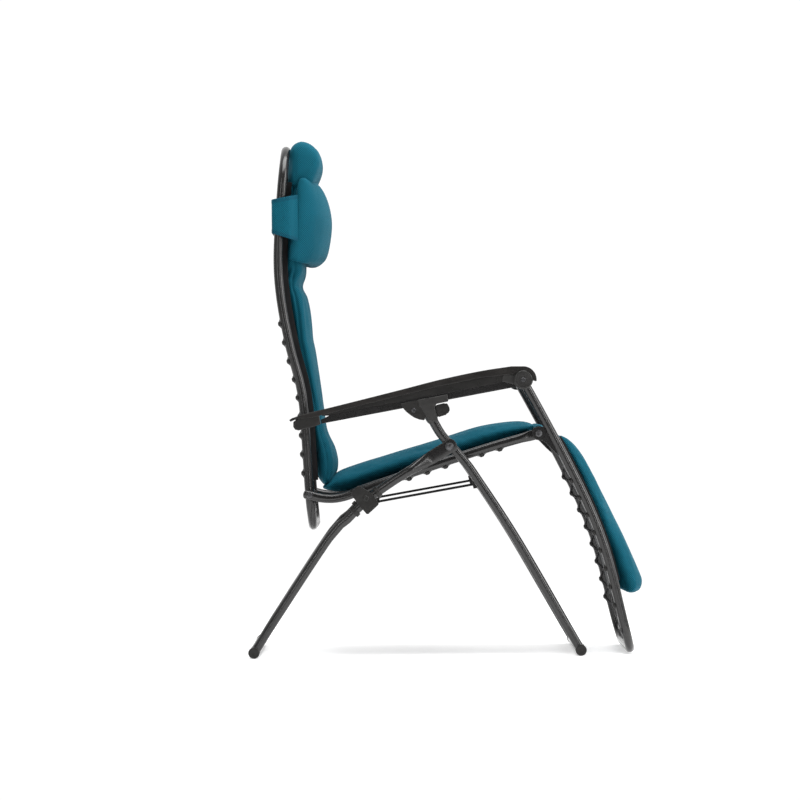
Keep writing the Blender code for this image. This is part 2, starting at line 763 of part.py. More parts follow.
def build_legrest():
    set_origin(legrest_frame(), KNEE_PIVOT)
    length = line_length(smooth_curve(LEGREST_TUBE, 12))
    sling("legrest_sling", LEGREST_TUBE, 110, length - 165, 250)
    for label, side in SIDES:
        set_origin(knee_hinge_bolt(label, side), KNEE_PIVOT)
        lacing(f"legrest_lacing_{label}", LEGREST_TUBE, LEGREST_Y, side, 80, length - 200)
    legrest_pad()


def build_armrests():
    for label, side in SIDES:
        set_origin(armrest_rear_bolt(label, side), ARM_REAR_PIVOT)
        set_origin(armrest(label, side), ARM_REAR_PIVOT)
        armrest_rail(label, side)
        armrest_end_cap(label, side)
        pivot_disc(label, side)
        slider_housing(label, side)
        lock_lever(label, side)


for old in list(bpy.data.objects):
    bpy.data.objects.remove(old)
build_legs()
build_seat()
build_backrest()
build_legrest()
build_armrests()
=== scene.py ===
"""Looks of the zero gravity recliner: fine tubes, padded covers, lacing, plastics and the studio.

Shapes are worked out in millimetres in the frame of the CAD part and become metres as they are made.
The right side of the chair is at -Y, nearest to the camera, and the left side at +Y.
"""

import math

import bmesh
import bpy
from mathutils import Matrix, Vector, noise


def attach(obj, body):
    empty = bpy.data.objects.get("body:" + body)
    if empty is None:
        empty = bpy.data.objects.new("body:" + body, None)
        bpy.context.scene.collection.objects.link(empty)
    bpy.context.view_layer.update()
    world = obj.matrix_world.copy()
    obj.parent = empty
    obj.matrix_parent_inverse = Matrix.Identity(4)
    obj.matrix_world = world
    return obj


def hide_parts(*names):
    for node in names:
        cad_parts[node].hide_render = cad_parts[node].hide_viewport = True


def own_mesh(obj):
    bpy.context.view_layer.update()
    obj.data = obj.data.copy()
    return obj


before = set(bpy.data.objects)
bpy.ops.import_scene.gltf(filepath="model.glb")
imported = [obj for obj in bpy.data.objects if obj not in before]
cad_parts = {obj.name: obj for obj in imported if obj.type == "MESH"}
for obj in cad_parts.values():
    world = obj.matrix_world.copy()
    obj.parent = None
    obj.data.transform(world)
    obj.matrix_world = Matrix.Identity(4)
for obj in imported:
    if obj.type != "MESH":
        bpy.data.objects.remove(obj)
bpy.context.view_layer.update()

MM = 0.001
SIDES = (("right", -1), ("left", 1))

# The side view's x in this script is the CAD's own x less this, as its centrelines are written
CENTRE_X = 4.2

# Tubes, wires and planes, as in the CAD but for the bend near the top of the front legs
TUBE_R = 10.0
TUBE_SIDES = 28
BAR_R = 11.0
BACK_Y = 232.0
SEAT_Y = 256.0
LEGREST_Y = 276.0
WIRE_Y = 279.0
FRONT_LEG_Y = 296.0
REAR_LEG_Y = 318.0
ARM_INNER_Y = 288.5
ARM_OUTER_Y = 336.0

LEG_PIVOT = (4.0, 461.5)
SEAT_PIVOT = (-180.0, 349.0)
KNEE_PIVOT = (200.5, 488.0)
ARM_REAR_PIVOT = (-314.0, 519.5)
ARM_FRONT_PIVOT = (166.0, 606.5)
WIRE_PIVOT = (61.5, 378.5)
REAR_FOOT = (-428.0, 12.4)
FRONT_FOOT = (289.0, 12.4)

REAR_LEG = [(-427, 13), (-382, 84), (-262, 263), (-222, 303), (-180, 344), (-121, 386), (-60, 423),
            (10, 465)]
FRONT_LEG = [(289, 13), (264, 56), (149, 257), (63, 391), (35, 430), (-5, 477), (-20, 498), (-46, 547)]
SEAT_TUBE = [(-313, 358), (-305, 356), (-282, 350), (-260, 348), (-238, 350), (-213, 357), (-180, 370),
             (66, 450), (208, 490)]
BACK_TUBE = [(-298, 288), (-305, 356), (-310, 440), (-320, 577), (-346, 683), (-365, 787), (-371, 880),
             (-363, 1016), (-353, 1119)]
LEGREST_TUBE = [(399, 13), (383, 76), (357, 187), (334, 264), (303, 341), (258, 434), (206, 533),
                (166, 606.5)]
STAY_WIRE_END = (-152.0, 341.5)

# Lateral planes between which the flat parts lie
SEAT_LUG_Y = (248.5, 262.6)
GUSSET_Y = (273.5, 278.5)
RAIL_Y = (314.5, 328.5)
RAIL_LIP_Y = (313.8, 329.2)
SLIDER_Y = (310, 333.5)
SLIDER_GROOVE_Y = (313.3, 329.7)
SADDLE_Y = (330.2, 335.2)
LEVER_Y = (312.4, 329.4)
LEVER_RIB_Y = (314, 328)
CLAMP_Y = (303.4, 332.6)

# Half widths of the slings and of the covers
SEAT_SLING_HALF = 232
BACK_SLING_HALF = 208
LEGREST_SLING_HALF = 250
COVER_HALF = 203.0
STRAP_HALF = 232
STRAP_REAR_X = -383.5

# Pitches of the weaves, and steps of the curves that the slings follow
MESH_PITCH = 4.8
BRAID_PITCH = 1.4
WEAVE_PITCH = 2.6
SLING_STEP = 6

RIM_ANGLE = math.radians(50)
SWELL_FRAMES = 20
CLOTH = {"quality": 4, "mass": 0.2, "tension_stiffness": 12, "compression_stiffness": 12,
         "bending_stiffness": 0.35, "use_pressure": True}

LACE_PITCH = 42.0
LACE_R = 1.9
LACE_SWEEP = math.radians(75)
ARM_SLOPE = math.atan2(ARM_FRONT_PIVOT[1] - ARM_REAR_PIVOT[1], ARM_FRONT_PIVOT[0] - ARM_REAR_PIVOT[0])


# ---------------------------------------------------------------- node trees


class Tree:
    """A material's node tree, with short ways to add and join nodes."""

    def __init__(self, name):
        self.material = bpy.data.materials.new(name)
        self.material.use_nodes = True
        self.nodes = self.material.node_tree.nodes
        self.links = self.material.node_tree.links
        self.shader = self.nodes["Principled BSDF"]

    def node(self, kind, **values):
        made = self.nodes.new(kind)
        for key, value in values.items():
            setattr(made, key, value)
        return made

    def put(self, value, socket):
        """Joins an output to an input, or sets the input to a constant."""
        if isinstance(value, bpy.types.NodeSocket):
            self.links.new(value, socket)
        else:
            socket.default_value = value

    def math(self, operation, a, b=0.0):
        made = self.node("ShaderNodeMath", operation=operation)
        self.put(a, made.inputs[0])
        self.put(b, made.inputs[1])
        return made.outputs[0]

    def noise(self, scale, detail=3.0, stretch=(1, 1, 1)):
        """Noise in object space, stretched along the axes."""
        place = self.node("ShaderNodeTexCoord").outputs["Object"]
        mapping = self.node("ShaderNodeMapping")
        mapping.inputs["Scale"].default_value = stretch
        self.put(place, mapping.inputs["Vector"])
        made = self.node("ShaderNodeTexNoise")
        made.inputs["Scale"].default_value = scale
        made.inputs["Detail"].default_value = detail
        self.put(mapping.outputs[0], made.inputs["Vector"])
        return made.outputs["Fac"]

    def ramp(self, value, stops):
        """A colour ramp; stops are position and colour."""
        made = self.node("ShaderNodeValToRGB")
        elements = made.color_ramp.elements
        while len(elements) < len(stops):
            elements.new(0.5)
        for element, (place, colour) in zip(elements, stops):
            element.position = place
            element.color = (*colour, 1)
        self.put(value, made.inputs[0])
        return made.outputs[0]

    def spread(self, value, low, high):
        """Maps 0..1 to low..high."""
        made = self.node("ShaderNodeMapRange")
        self.put(value, made.inputs["Value"])
        made.inputs["To Min"].default_value = low
        made.inputs["To Max"].default_value = high
        return made.outputs[0]

    def bump(self, height, distance, strength):
        made = self.node("ShaderNodeBump")
        made.inputs["Distance"].default_value = distance
        made.inputs["Strength"].default_value = strength
        self.put(height, made.inputs["Height"])
        return made.outputs[0]

    def diamonds(self, pitch):
        """A diagonal lattice of dots on every side of a surface, blended by the way the surface faces."""
        coords = self.node("ShaderNodeTexCoord")
        place = self.node("ShaderNodeSeparateXYZ")
        self.put(coords.outputs["Object"], place.inputs[0])
        facing = self.node("ShaderNodeSeparateXYZ")
        self.put(coords.outputs["Normal"], facing.inputs[0])
        turns = math.tau / (pitch * MM)
        total = 0.0
        weight_sum = 0.0
        for axis, first, second in ((0, 1, 2), (1, 0, 2), (2, 0, 1)):
            a, b = place.outputs[first], place.outputs[second]
            across = self.math("SINE", self.math("MULTIPLY", a, turns))
            along = self.math("SINE", self.math("MULTIPLY", b, turns))
            dots = self.math("ADD", self.math("MULTIPLY", self.math("MULTIPLY", across, along), 0.5), 0.5)
            weight = self.math("POWER", self.math("ABSOLUTE", facing.outputs[axis]), 3.0)
            total = self.math("ADD", self.math("MULTIPLY", dots, weight), total)
            weight_sum = self.math("ADD", weight, weight_sum)
        return self.math("DIVIDE", total, weight_sum)

    def finish(self, colour, roughness, relief, fixed=()):
        """Joins what varies to the shader, sets its fixed inputs and returns the material."""
        inputs = self.shader.inputs
        self.put(colour, inputs["Base Color"])
        self.put(roughness, inputs["Roughness"])
        self.put(relief, inputs["Normal"])
        for name, value in fixed:
            inputs[name].default_value = value
        return self.material


def spacer_mesh(name, holes, threads, shine):
    """Knitted spacer mesh: dark holes in a diagonal lattice of lighter threads."""
    t = Tree(name)
    dots = t.diamonds(MESH_PITCH)
    fibre = t.noise(900, 2)
    cloud = t.noise(5, 4, (1, 1, 0.5))
    height = t.math("ADD", dots, t.math("MULTIPLY", fibre, 0.35))
    tone = t.math("ADD", t.math("MULTIPLY", dots, 0.75), t.math("MULTIPLY", cloud, 0.45))
    sheen = [("Specular IOR Level", 0.08), ("Sheen Weight", 0.12), ("Sheen Roughness", 0.35),
             ("Sheen Tint", (0.2, 0.7, 0.9, 1))]
    return t.finish(t.ramp(tone, [(0.12, holes), (0.5, threads), (0.95, shine)]),
                    t.spread(fibre, 0.62, 0.85), t.bump(height, 0.0009, 0.7), sheen)


def powder_coat(name, dark, light, low, high, gloss):
    """Satin powder coat with a fine orange peel, under a thin clear layer."""
    t = Tree(name)
    cloud = t.noise(14, 5)
    peel = t.noise(650, 2)
    coat = [("Specular IOR Level", gloss), ("Coat Weight", gloss * 0.3), ("Coat Roughness", 0.16)]
    return t.finish(t.ramp(cloud, [(0.3, dark), (0.75, light)]), t.spread(cloud, low, high),
                    t.bump(peel, 0.00004, 0.5), coat)


def moulded_plastic(name, dark, light, low, high):
    """Moulded plastic with a spark eroded grain and a little scuffing."""
    t = Tree(name)
    grain = t.noise(1500, 3)
    scuff = t.noise(60, 6, (0.3, 1, 1))
    return t.finish(t.ramp(scuff, [(0.35, dark), (0.8, light)]), t.spread(scuff, low, high),
                    t.bump(grain, 0.0002, 0.6), [("Specular IOR Level", 0.32)])


def plated_steel(name):
    """Zinc plated steel with fine turning marks and dull spots."""
    t = Tree(name)
    spots = t.noise(90, 5)
    marks = t.noise(400, 2, (1, 8, 1))
    return t.finish(t.ramp(spots, [(0.3, (0.05, 0.05, 0.052)), (0.7, (0.12, 0.12, 0.125))]),
                    t.spread(spots, 0.28, 0.5), t.bump(marks, 0.0002, 0.4), [("Metallic", 0.9)])


def braid(name, dark, light):
    """Braided sleeve of elastic cord."""
    t = Tree(name)
    dots = t.diamonds(BRAID_PITCH)
    fuzz = t.noise(1200, 2)
    tone = t.math("ADD", dots, t.math("MULTIPLY", fuzz, 0.4))
    return t.finish(t.ramp(tone, [(0.2, dark), (1.0, light)]), 0.8, t.bump(dots, 0.0003, 0.8))


def coated_weave(name, dark, light):
    """Black coated cloth with a diagonal weave."""
    t = Tree(name)
    dots = t.diamonds(WEAVE_PITCH)
    cloud = t.noise(9, 4)
    tone = t.math("ADD", t.math("MULTIPLY", dots, 0.7), t.math("MULTIPLY", cloud, 0.4))
    return t.finish(t.ramp(tone, [(0.2, dark), (0.9, light)]), t.spread(cloud, 0.55, 0.75),
                    t.bump(dots, 0.0005, 0.7), [("Specular IOR Level", 0.2)])


TEAL = spacer_mesh("teal_spacer_mesh", (0.0007, 0.016, 0.026), (0.002, 0.055, 0.085), (0.004, 0.115, 0.165))
TEAL_TRIM = spacer_mesh("teal_binding", (0.001, 0.018, 0.03), (0.0025, 0.046, 0.074), (0.005, 0.085, 0.13))
STEEL = powder_coat("anthracite_powder_coat", (0.01, 0.0097, 0.0097), (0.017, 0.0165, 0.0165),
                    0.2, 0.28, 0.42)
WIRE = powder_coat("black_wire_coat", (0.006, 0.006, 0.0065), (0.012, 0.012, 0.0125), 0.5, 0.65, 0.1)
PLASTIC = moulded_plastic("black_plastic_grain", (0.008, 0.0075, 0.007), (0.016, 0.015, 0.014), 0.34, 0.48)
CLAMP_PLASTIC = moulded_plastic("clamp_plastic_grain", (0.019, 0.0185, 0.018), (0.034, 0.033, 0.032),
                                0.3, 0.4)
ARM_PLASTIC = moulded_plastic("armrest_plastic_grain", (0.008, 0.007, 0.0065), (0.015, 0.013, 0.012),
                              0.3, 0.42)
ZINC = plated_steel("zinc_plated_steel")
PAINTED = (STEEL, "anthracite_steel")
PLATED = (ZINC, "zinc_steel")
PADDING = (TEAL, "teal_mesh")
CORD = braid("elastic_braid", (0.008, 0.008, 0.009), (0.05, 0.05, 0.053))
SLING = coated_weave("black_sling_weave", (0.006, 0.007, 0.008), (0.03, 0.034, 0.038))
# Near-black cloth for the strips between sling and cover: partly the sling's own black side, partly painted
# shade standing for the shadow in that gap
SLING_SIDE_AND_PAINTED_SHADE = coated_weave("sling_side_and_painted_shade_cloth", (0.001, 0.001, 0.001), (0.004, 0.004, 0.005))


# ---------------------------------------------------------------- shapes


def smooth_curve(points, step):
    """Points about one step apart on a Catmull-Rom curve through the given side view points."""
    knots = [Vector(p) for p in points]
    ends = [2 * knots[0] - knots[1], *knots, 2 * knots[-1] - knots[-2]]
    line = []
    for a, b, c, d in zip(ends, ends[1:], ends[2:], ends[3:]):
        count = max(1, round((c - b).length / step))
        for i in range(count):
            t = i / count
            line.append(0.5 * (2 * b + (c - a) * t + (2 * a - 5 * b + 4 * c - d) * t * t
                               + (3 * b - a - 3 * c + d) * t ** 3))
    line.append(knots[-1])
    return line


def point_along(line, distance):
    """The point at a distance along a polyline, and the direction there."""
    for a, b in zip(line, line[1:]):
        length = (b - a).length
        if distance <= length or b is line[-1]:
            return a + (b - a) * (distance / length), (b - a).normalized()
        distance -= length


def line_length(line):
    return sum((b - a).length for a, b in zip(line, line[1:]))


def resample(points, count, step=4):
    """count points evenly spaced on a smooth curve through the given ones."""
    line = smooth_curve(points, step)
    total = line_length(line)
    return [point_along(line, total * i / (count - 1))[0] for i in range(count)]


def in_plane(line, y):
    return [Vector((p[0], y, p[1])) for p in line]


def skin(mesh_data, rings, closed=False):
    """Joins rings of points with quads, and caps both ends unless the rings close on themselves."""
    pairs = list(zip(rings, rings[1:]))
    if closed:
        pairs.append((rings[-1], rings[0]))
    else:
        mesh_data.faces.new(rings[0])
        mesh_data.faces.new(reversed(rings[-1]))
    for low, high in pairs:
        for k in range(len(low)):
            n = (k + 1) % len(low)
            mesh_data.faces.new((low[k], low[n], high[n], high[k]))


def sweep(mesh_data, path, half_sizes=None, closed=False, sides=TUBE_SIDES, radius=TUBE_R):
    """Sweeps an ellipse along a path; half_sizes gives each station's half width and half depth."""
    count = len(path)
    rings = []
    across = None
    for i, point in enumerate(path):
        before = path[i - 1] if i or closed else point
        after = path[(i + 1) % count] if i < count - 1 or closed else point
        tangent = (after - before).normalized()
        if across is None:
            guide = Vector((0, 1, 0)) if abs(tangent.y) < 0.9 else Vector((0, 0, 1))
            across = guide.cross(tangent).normalized()
        across = (across - tangent * across.dot(tangent)).normalized()
        depth = tangent.cross(across)
        width, thick = half_sizes[i] if half_sizes else (radius, radius)
        ring = []
        for k in range(sides):
            angle = math.tau * (k + 0.5) / sides
            offset = across * (width * math.cos(angle)) + depth * (thick * math.sin(angle))
            ring.append(mesh_data.verts.new(point + offset))
        rings.append(ring)
    skin(mesh_data, rings, closed)


def turned(mesh_data, centre, profile, side, sides=32):
    """A solid turned about Y: profile lists radius and distance from the middle of the chair."""
    rings = []
    for radius, y in profile:
        ring = []
        for k in range(sides):
            angle = math.tau * (k + 0.5) / sides
            place = (centre[0] + radius * math.cos(angle), side * y, centre[1] + radius * math.sin(angle))
            ring.append(mesh_data.verts.new(place))
        rings.append(ring)
    skin(mesh_data, rings)


def plate(mesh_data, outline, side, planes):
    """Extrudes a side view outline between two lateral planes, on one side of the chair."""
    rings = []
    for y in sorted(side * plane for plane in planes):
        rings.append([mesh_data.verts.new((p[0], y, p[1])) for p in outline])
    skin(mesh_data, rings)


def modify(obj, name, kind, **settings):
    """Adds a modifier with the given settings."""
    change = obj.modifiers.new(name, kind)
    for key, value in settings.items():
        setattr(change, key, value)
    return change


def apply_modifiers(obj):
    """Gives an object the mesh that its modifiers make, and removes them."""
    graph = bpy.context.evaluated_depsgraph_get()
    made = bpy.data.meshes.new_from_object(obj.evaluated_get(graph))
    obj.modifiers.clear()
    obj.data = made


def piece(name, finish, slot, body, build, stands_for=(), bevel=0.0, angle=35):
    """A named piece in metres that rides on a body; build fills its bmesh in millimetres."""
    mesh_data = bmesh.new()
    build(mesh_data)
    bmesh.ops.translate(mesh_data, vec=(CENTRE_X, 0, 0), verts=mesh_data.verts)
    bmesh.ops.scale(mesh_data, vec=(MM, MM, MM), verts=mesh_data.verts)
    bmesh.ops.recalc_face_normals(mesh_data, faces=mesh_data.faces)
    mesh = bpy.data.meshes.new(name)
    mesh_data.to_mesh(mesh)
    mesh_data.free()
    mesh.materials.append(finish)
    mesh.shade_smooth()
    mesh.set_sharp_from_angle(angle=math.radians(angle))
    obj = bpy.data.objects.new(name, mesh)
    bpy.context.scene.collection.objects.link(obj)
    if bevel:
        modify(obj, "rim", "BEVEL", width=bevel * MM, segments=4, limit_method="ANGLE",
               angle_limit=RIM_ANGLE, harden_normals=True)
    if body:
        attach(obj, body)
    if stands_for:
        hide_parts(*stands_for)
    return obj


def rise(value, start, width):
    """0 up to start, then up to 1 over a width."""
    return min(1.0, max(0.0, (value - start) / width))


def blend(a, b, share):
    return a + (b - a) * share


def flattened(path, start, width, depth, side_shift):
    """Half sizes and shifted path of a tube whose last stretch is pressed flat."""
    count = len(path)
    sizes = []
    moved = []
    for i, point in enumerate(path):
        t = rise(i / (count - 1), start, 0.6 * (1 - start))
        t = t * t * (3 - 2 * t)
        sizes.append((blend(TUBE_R, width, t), blend(TUBE_R, depth, t)))
        moved.append(point + Vector((0, side_shift * t, 0)))
    return moved, sizes


def round_end(path, sizes, reach):
    """Rounds the last end of a flattened tube in side view."""
    last = path[-1]
    direction = (path[-1] - path[-2]).normalized()
    width, depth = sizes[-1]
    for i in range(1, 7):
        turn = math.pi / 2 * i / 6.5
        path.append(last + direction * (reach * math.sin(turn)))
        sizes.append((width * math.cos(turn), depth))


def frame_path(side_line, half_width, low_radius, high_radius=None):
    """Path of a bent tube frame, as in the CAD but with finer steps."""
    line = smooth_curve(side_line, 26)
    total = line_length(line)

    def at(distance, y):
        point, _ = point_along(line, distance)
        return Vector((point.x, y, point.y))

    half = []
    arc = 12
    for i in range(arc):
        turn = math.pi / 2 * i / arc
        half.append(at(low_radius * (1 - math.cos(turn)), low_radius * (1 - math.sin(turn)) - half_width))
    top = total - (high_radius or 0.0)
    steps = round((top - low_radius) / 12)
    for i in range(steps + 1):
        half.append(at(low_radius + (top - low_radius) * i / steps, -half_width))
    if high_radius:
        for i in range(1, arc + 1):
            turn = math.pi / 2 * i / arc
            half.append(at(top + high_radius * math.sin(turn),
                           high_radius * (1 - math.cos(turn)) - half_width))
    other = [Vector((p.x, -p.y, p.z)) for p in half]
    if high_radius:
        return half + other[::-1]
    return half[::-1] + other


def weld_bead(mesh_data, centre, tangent, radius, thickness=1.3, around=40):
    """A slightly uneven weld bead round a tube."""
    tangent = tangent.normalized()
    first = tangent.cross(Vector((0.3, 1, 0.2))).normalized()
    second = tangent.cross(first)
    path = []
    for i in range(around):
        turn = math.tau * i / around
        wave = 0.35 * math.sin(turn * 9)
        path.append(centre + (first * math.cos(turn) + second * math.sin(turn)) * (radius + wave * 0.4)
                    + tangent * wave)
    sweep(mesh_data, path, closed=True, sides=8, radius=thickness)


# ---------------------------------------------------------------- frame tubes


def rear_leg(label, side):
    path = in_plane(smooth_curve(REAR_LEG, 24), side * REAR_LEG_Y)
    lug_y = FRONT_LEG_Y + TUBE_R + 2.6
    path, sizes = flattened(path, 0.84, 15.0, 2.0, side * (lug_y - REAR_LEG_Y))
    fine = []
    fine_sizes = []
    for a, b, size_a, size_b in zip(path, path[1:], sizes, sizes[1:]):
        for i in range(3):
            fine.append(a.lerp(b, i / 3))
            fine_sizes.append(tuple(blend(low, high, i / 3) for low, high in zip(size_a, size_b)))
    fine.append(path[-1])
    fine_sizes.append(sizes[-1])
    fine = fine[3:]
    fine_sizes = fine_sizes[3:]
    round_end(fine, fine_sizes, 9)

    def build(m):
        sweep(m, fine, fine_sizes)
        sweep(m, [Vector((REAR_FOOT[0], side * REAR_LEG_Y, REAR_FOOT[1])), *fine[:1]])
        foot = path[0].lerp(path[1], 0.32)
        weld_bead(m, foot, path[1] - path[0], TUBE_R + 0.3)

    piece(f"rear_leg_tube_{label}", *PAINTED, "rear_legs", build, [f"rear_leg_{label}"])


def front_leg(label, side):
    path = in_plane(smooth_curve(FRONT_LEG, 12), side * FRONT_LEG_Y)

    def build(m):
        sweep(m, path)
        weld_bead(m, path[0].lerp(path[2], 0.42), path[2] - path[0], TUBE_R + 0.3)

    piece(f"front_leg_tube_{label}", *PAINTED, "front_legs", build, [f"front_leg_{label}"])


def cross_tube(name, centre, half_length, radius, steps, body, node):
    """Straight tube from side to side, with a number of steps on each side of the middle."""
    path = [Vector((centre[0], half_length * t / steps, centre[1])) for t in range(-steps, steps + 1)]
    piece(name, *PAINTED, body, lambda m: sweep(m, path, radius=radius), [node])


def foot_cap(name, centre, half_length, side, body, node):
    """Rounded plug with a flange, a shallow dish in its face and a mould ring."""
    face = half_length + 0.4
    profile = [(10.8, face - 4), (11.6, face - 4), (12.2, face - 2), (12.4, face + 0.6), (12.4, face + 3.4),
               (11.8, face + 5), (10.6, face + 5.8), (9.6, face + 5.9), (9.2, face + 5.2), (3.2, face + 4.8),
               (2.6, face + 5.4), (0.4, face + 5.6)]
    piece(name, PLASTIC, "black_plastic", body, lambda m: turned(m, centre, profile, side), [node], angle=30)


def seat_tube(label, side):
    path = in_plane(smooth_curve(SEAT_TUBE, 8), side * SEAT_Y)
    path, sizes = flattened(path, 0.9, 11.5, 2.4, side * 3.0)
    start = []
    for i in range(5, 0, -1):
        turn = math.pi / 2 * i / 5.5
        start.append((path[0] + (path[0] - path[1]).normalized() * (6 * math.sin(turn)), math.cos(turn)))
    round_end(path, sizes, 8)
    path = [p for p, _ in start] + path
    sizes = [(TUBE_R * s, TUBE_R * s) for _, s in start] + sizes
    lug = [(-197, 345), (-190, 338), (-180, 335.5), (-170, 338), (-163, 345), (-158, 366), (-202, 353)]

    def build(m):
        sweep(m, path, sizes)
        plate(m, lug, side, SEAT_LUG_Y)

    piece(f"seat_side_tube_{label}", *PAINTED, "seat", build, [f"seat_tube_{label}"])


def backrest_frame():
    path = frame_path(BACK_TUBE, BACK_Y, 60, 90)
    piece("backrest_tube", *PAINTED, "backrest", lambda m: sweep(m, path, closed=True), ["backrest_frame"])


def legrest_frame():
    path = frame_path(LEGREST_TUBE, LEGREST_Y, 55)
    gusset = [(186, 496), (190, 501), (198, 504), (212, 503), (234, 490), (256, 446), (250, 434), (232, 450),
              (215, 468), (206, 473), (195, 474), (188, 480), (185, 488)]

    def build(m):
        sweep(m, path)
        for _, side in SIDES:
            plate(m, gusset, side, GUSSET_Y)
            top = Vector((ARM_FRONT_PIVOT[0], side * LEGREST_Y, ARM_FRONT_PIVOT[1]))
            turned(m, (top.x, top.z), [(9.4, 267), (10.6, 267.6), (10.6, 285), (9.4, 285.8)], side)

    piece("legrest_tube", *PAINTED, "legrest", build, ["legrest_frame"], bevel=0.6)


def stay_wire(label, side):
    """Rod with a hooked front end in its clip and a turned-in rear end at the bracket."""
    start = Vector((WIRE_PIVOT[0], side * WIRE_Y, WIRE_PIVOT[1]))
    end = Vector((STAY_WIRE_END[0], side * WIRE_Y, STAY_WIRE_END[1]))
    path = [start.lerp(end, t / 12) for t in range(13)]
    hook = [start + Vector((5, side * 1.0, 0)), start + Vector((9, side * 4.2, 0.5))]

    def build(m):
        sweep(m, hook[::-1] + path, sides=14, radius=2.7)
        turned(m, (end.x, end.z), [(1.5, 276.6), (3.4, 277.0), (3.4, 281.0), (1.5, 281.4)], side, 16)

    piece(f"stay_rod_{label}", WIRE, "black_wire", "stay_wires", build, [f"stay_wire_{label}"])


def build_frames():
    rear_half = REAR_LEG_Y + BAR_R
    front_half = FRONT_LEG_Y + BAR_R
    cross_tube("rear_foot_bar", REAR_FOOT, rear_half, BAR_R, 6, "rear_legs", "rear_crossbar")
    cross_tube("front_foot_bar", FRONT_FOOT, front_half, BAR_R, 6, "front_legs", "front_crossbar")
    cross_tube("seat_axle_tube", SEAT_PIVOT, 240.5, 8.0, 4, "seat", "seat_cross_tube")
    cross_tube("knee_tube", KNEE_PIVOT, 251.5, 6.5, 4, "seat", "knee_cross_tube")
    backrest_frame()
    legrest_frame()
    for label, side in SIDES:
        rear_leg(label, side)
        front_leg(label, side)
        seat_tube(label, side)
        stay_wire(label, side)
        for end, centre, half in (("rear", REAR_FOOT, rear_half), ("front", FRONT_FOOT, front_half)):
            foot_cap(f"{end}_foot_{label}", centre, half, side, f"{end}_legs", f"{end}_foot_cap_{label}")


# ---------------------------------------------------------------- plastics and armrests


def along_arm(*places):
    """Side view points: each place is a distance along the armrest from its rear pivot and a height."""
    across, up = math.cos(ARM_SLOPE), math.sin(ARM_SLOPE)
    x, z = ARM_REAR_PIVOT
    return [(x + distance * across - height * up, z + distance * up + height * across)
            for distance, height in places]


def arc_points(centre, radius, start, end, count):
    """Points on an arc in side view, angles in degrees."""
    points = []
    for i in range(count + 1):
        angle = math.radians(start + (end - start) * i / count)
        points.append((centre[0] + radius * math.cos(angle), centre[1] + radius * math.sin(angle)))
    return points


def armrest(label, side):
    """Arched crown with a hood over the front pivot, above a recessed web with stiffening ribs."""
    crest = [(-347, 522), (-324, 532), (-214, 559), (-104, 586), (-16, 608), (72, 626), (140, 636)]
    top = [tuple(p) for p in smooth_curve(crest, 16)]
    hood = arc_points(ARM_FRONT_PIVOT, 29.4, 88, -8, 26)
    inner = arc_points(ARM_FRONT_PIVOT, 21.0, -4, 146, 24)
    belly = [(128, 617), (72, 611), (-16, 594), (-104, 573), (-214, 547), (-300, 526)]
    crown = top + hood + inner + belly + along_arm((-14, 8.2), (-30, 4))
    piece(f"armrest_crown_{label}", ARM_PLASTIC, "armrest_plastic", "armrests",
          lambda m: plate(m, crown, side, (ARM_INNER_Y + 0.4, ARM_OUTER_Y - 0.2)),
          [f"armrest_{label}"], bevel=3.0)
    high = [(-270, 538), (-214, 552), (-104, 579), (-16, 600), (72, 617), (128, 624), (146, 622)]
    web = high + [(150, 600)] + along_arm((446, -4), (438, 1.4), (56, 1.4), (40, 4))

    def build_web(m):
        plate(m, web, side, (ARM_INNER_Y + 4, ARM_OUTER_Y - 8))
        for distance in (120, 180, 330, 390, 430):
            rib = along_arm((distance, 3.2), (distance + 3, 3.2), (distance + 3, 12), (distance, 12))
            plate(m, rib, side, (ARM_INNER_Y + 5, ARM_OUTER_Y - 6.5))

    piece(f"armrest_web_{label}", PLASTIC, "armrest_plastic", "armrests", build_web, bevel=0.8)

    def build_boss(m):
        turned(m, ARM_FRONT_PIVOT,
               [(14, 290), (21.4, 291), (21.4, ARM_OUTER_Y - 2.4), (20.2, ARM_OUTER_Y - 1.2)], side, 48)
        plate(m, [(119, 603), (154, 594), (158, 616), (122, 620)], side, (296, ARM_OUTER_Y - 4))

    piece(f"armrest_boss_{label}", CLAMP_PLASTIC, "armrest_plastic", "armrests", build_boss, bevel=1.5)


def armrest_rail(label, side):
    outline = along_arm((36, -12.8), (470, -12.8), (470, 2.8), (60, 2.8), (36, -4))
    lip = along_arm((36, -12.8), (468, -12.8), (468, -10.4), (36, -10.4))

    def build(m):
        plate(m, outline, side, RAIL_Y)
        plate(m, lip, side, RAIL_LIP_Y)

    piece(f"armrest_guide_{label}", *PAINTED, "armrests", build, [f"armrest_rail_{label}"], bevel=0.8)


def armrest_end_cap(label, side):
    outline = along_arm((-24, 2.5), (-26, -8), (-23, -15), (-16, -18), (20, -16), (34, -13.4), (34, 7.6),
                        (-13, 7.8))
    piece(f"armrest_rear_block_{label}", PLASTIC, "black_plastic", "armrests",
          lambda m: plate(m, outline, side, (ARM_INNER_Y + 0.6, 334)), [f"armrest_end_cap_{label}"],
          bevel=2.4)


